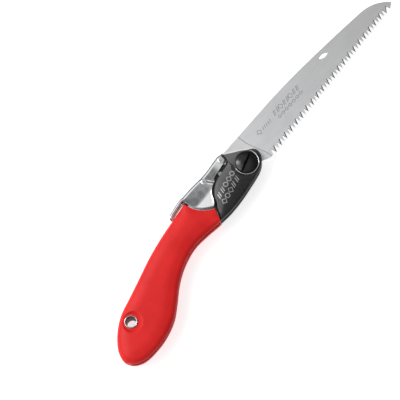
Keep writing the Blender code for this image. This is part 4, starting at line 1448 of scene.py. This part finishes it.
def make_camera():
    data = bpy.data.cameras.new("photo_angle")
    data.lens = CAMERA_LENS
    data.sensor_width = 36.0
    data.clip_start = 0.05
    data.clip_end = 20.0
    camera = linked("photo_angle", data)
    back = CAMERA_SIDE.normalized()
    right = CAMERA_UP.cross(back).normalized()
    turn = Matrix((right, back.cross(right), back)).transposed().to_4x4()
    camera.matrix_world = Matrix.Translation(LOOK_AT + back * CAMERA_DISTANCE) @ turn
    bpy.context.scene.camera = camera


# ---------------------------------------------------------------- the saw


def dress(node, material, edge=0.0):
    """New material, and softer edges where given, for a CAD node that keeps its shape."""
    thing = frame["nodes"][node]
    thing.data.materials.clear()
    thing.data.materials.append(material)
    for face in thing.data.polygons:
        face.material_index = 0
    if edge:
        weld = thing.modifiers.new("weld", "WELD")
        weld.merge_threshold = 0.001 * MM
        soften(thing, edge, 2)


def main():
    steel = bright_steel()
    plate_chrome = chrome("chrome", (0.86, 0.86, 0.87), 0.09)
    lever_chrome = chrome("lever_chrome", (0.88, 0.88, 0.88), 0.11)
    # The eyelet's nickel is much darker than the other chrome: painted shade for its dark ring.
    nickel_painted_shade = chrome("eyelet_nickel_painted_shade", (0.50, 0.50, 0.51), 0.10)
    # Painted shade for the liners' flat faces and the open stop pin.
    liner_face_painted_shade = painted_shade_liner_finish()
    plastic = black_plastic()
    gloss = black_metal()
    washer = bronze()

    place(make_blade(blade_steel(), ground_steel()), "blade", "blade_steel", "blade")
    place(make_etching(etched_steel()), "blade", "blade_steel")
    place(make_grip(red_rubber()), "handle", "red_rubber", "grip")
    # The eyelet's bore is red rubber with painted shade.
    place(make_eyelet(nickel_painted_shade, red_rubber("eyelet_bore_painted_shade", 0.4)), "handle", "chrome", "hang_hole_eyelet")
    sides = (("right", 1), ("left", -1))
    for word, side in sides:
        place(make_cover(f"cover_{word}", side, plastic), "handle", "black_plastic", f"front_cover_{word}")
    place(make_cover_marks(silver_print()), "handle", "chrome")
    place(make_bolt(gloss, slot_painted_shade()), "handle", "black_metal", "pivot_bolt")
    place(make_nut(gloss, bore_dark()), "handle", "black_metal", "pivot_nut")
    place(make_seat_ring(steel), "handle", "steel", "bolt_seat_ring")
    for word, side in sides:
        liner = make_plate(f"liner_{word}", side, plate_chrome, liner_face_painted_shade)
        place(liner, "handle", "chrome", f"frame_plate_{word}")
        dress(f"bearing_washer_{word}", washer, 0.15)
    place(make_lever(lever_chrome), "lever", "lever_chrome", "lock_lever")
    pin = riveted_pin("lock_pin_riveted", LOCK_PIN, LOCK_PIN_RADIUS, ARM_HALF + 0.3, steel)
    place(pin, "lever", "steel", "lock_pin")
    wing_half = lever_half(LEVER_PIVOT.x, LEVER_PIVOT.y) + 0.25
    pin = riveted_pin("lever_pin_riveted", LEVER_PIVOT, LEVER_PIN_RADIUS, wing_half, steel)
    place(pin, "handle", "steel", "lever_pivot_pin")
    dress("frame_spacer", nylon(), 0.3)
    # The open stop pin, in the gap beside the lever, takes the liners' painted shade.
    dress("open_stop_pin", liner_face_painted_shade, 0.15)
    dress("closed_stop_pin", steel, 0.2)
    dress("lever_spring", steel)
    dress("spring_washer", steel, 0.1)
    for node in RIVETS:
        dress(node, steel, 0.15)

    make_floor()
    make_world()
    make_light("key", (-0.44, 0.46, 0.77), 0.80, 0.60, 5.0)
    make_light("sparkle", (-0.20, 0.67, 0.72), 0.30, 0.30, 4.0)
    make_camera()
    bpy.context.scene.view_settings.view_transform = "Standard"


main()
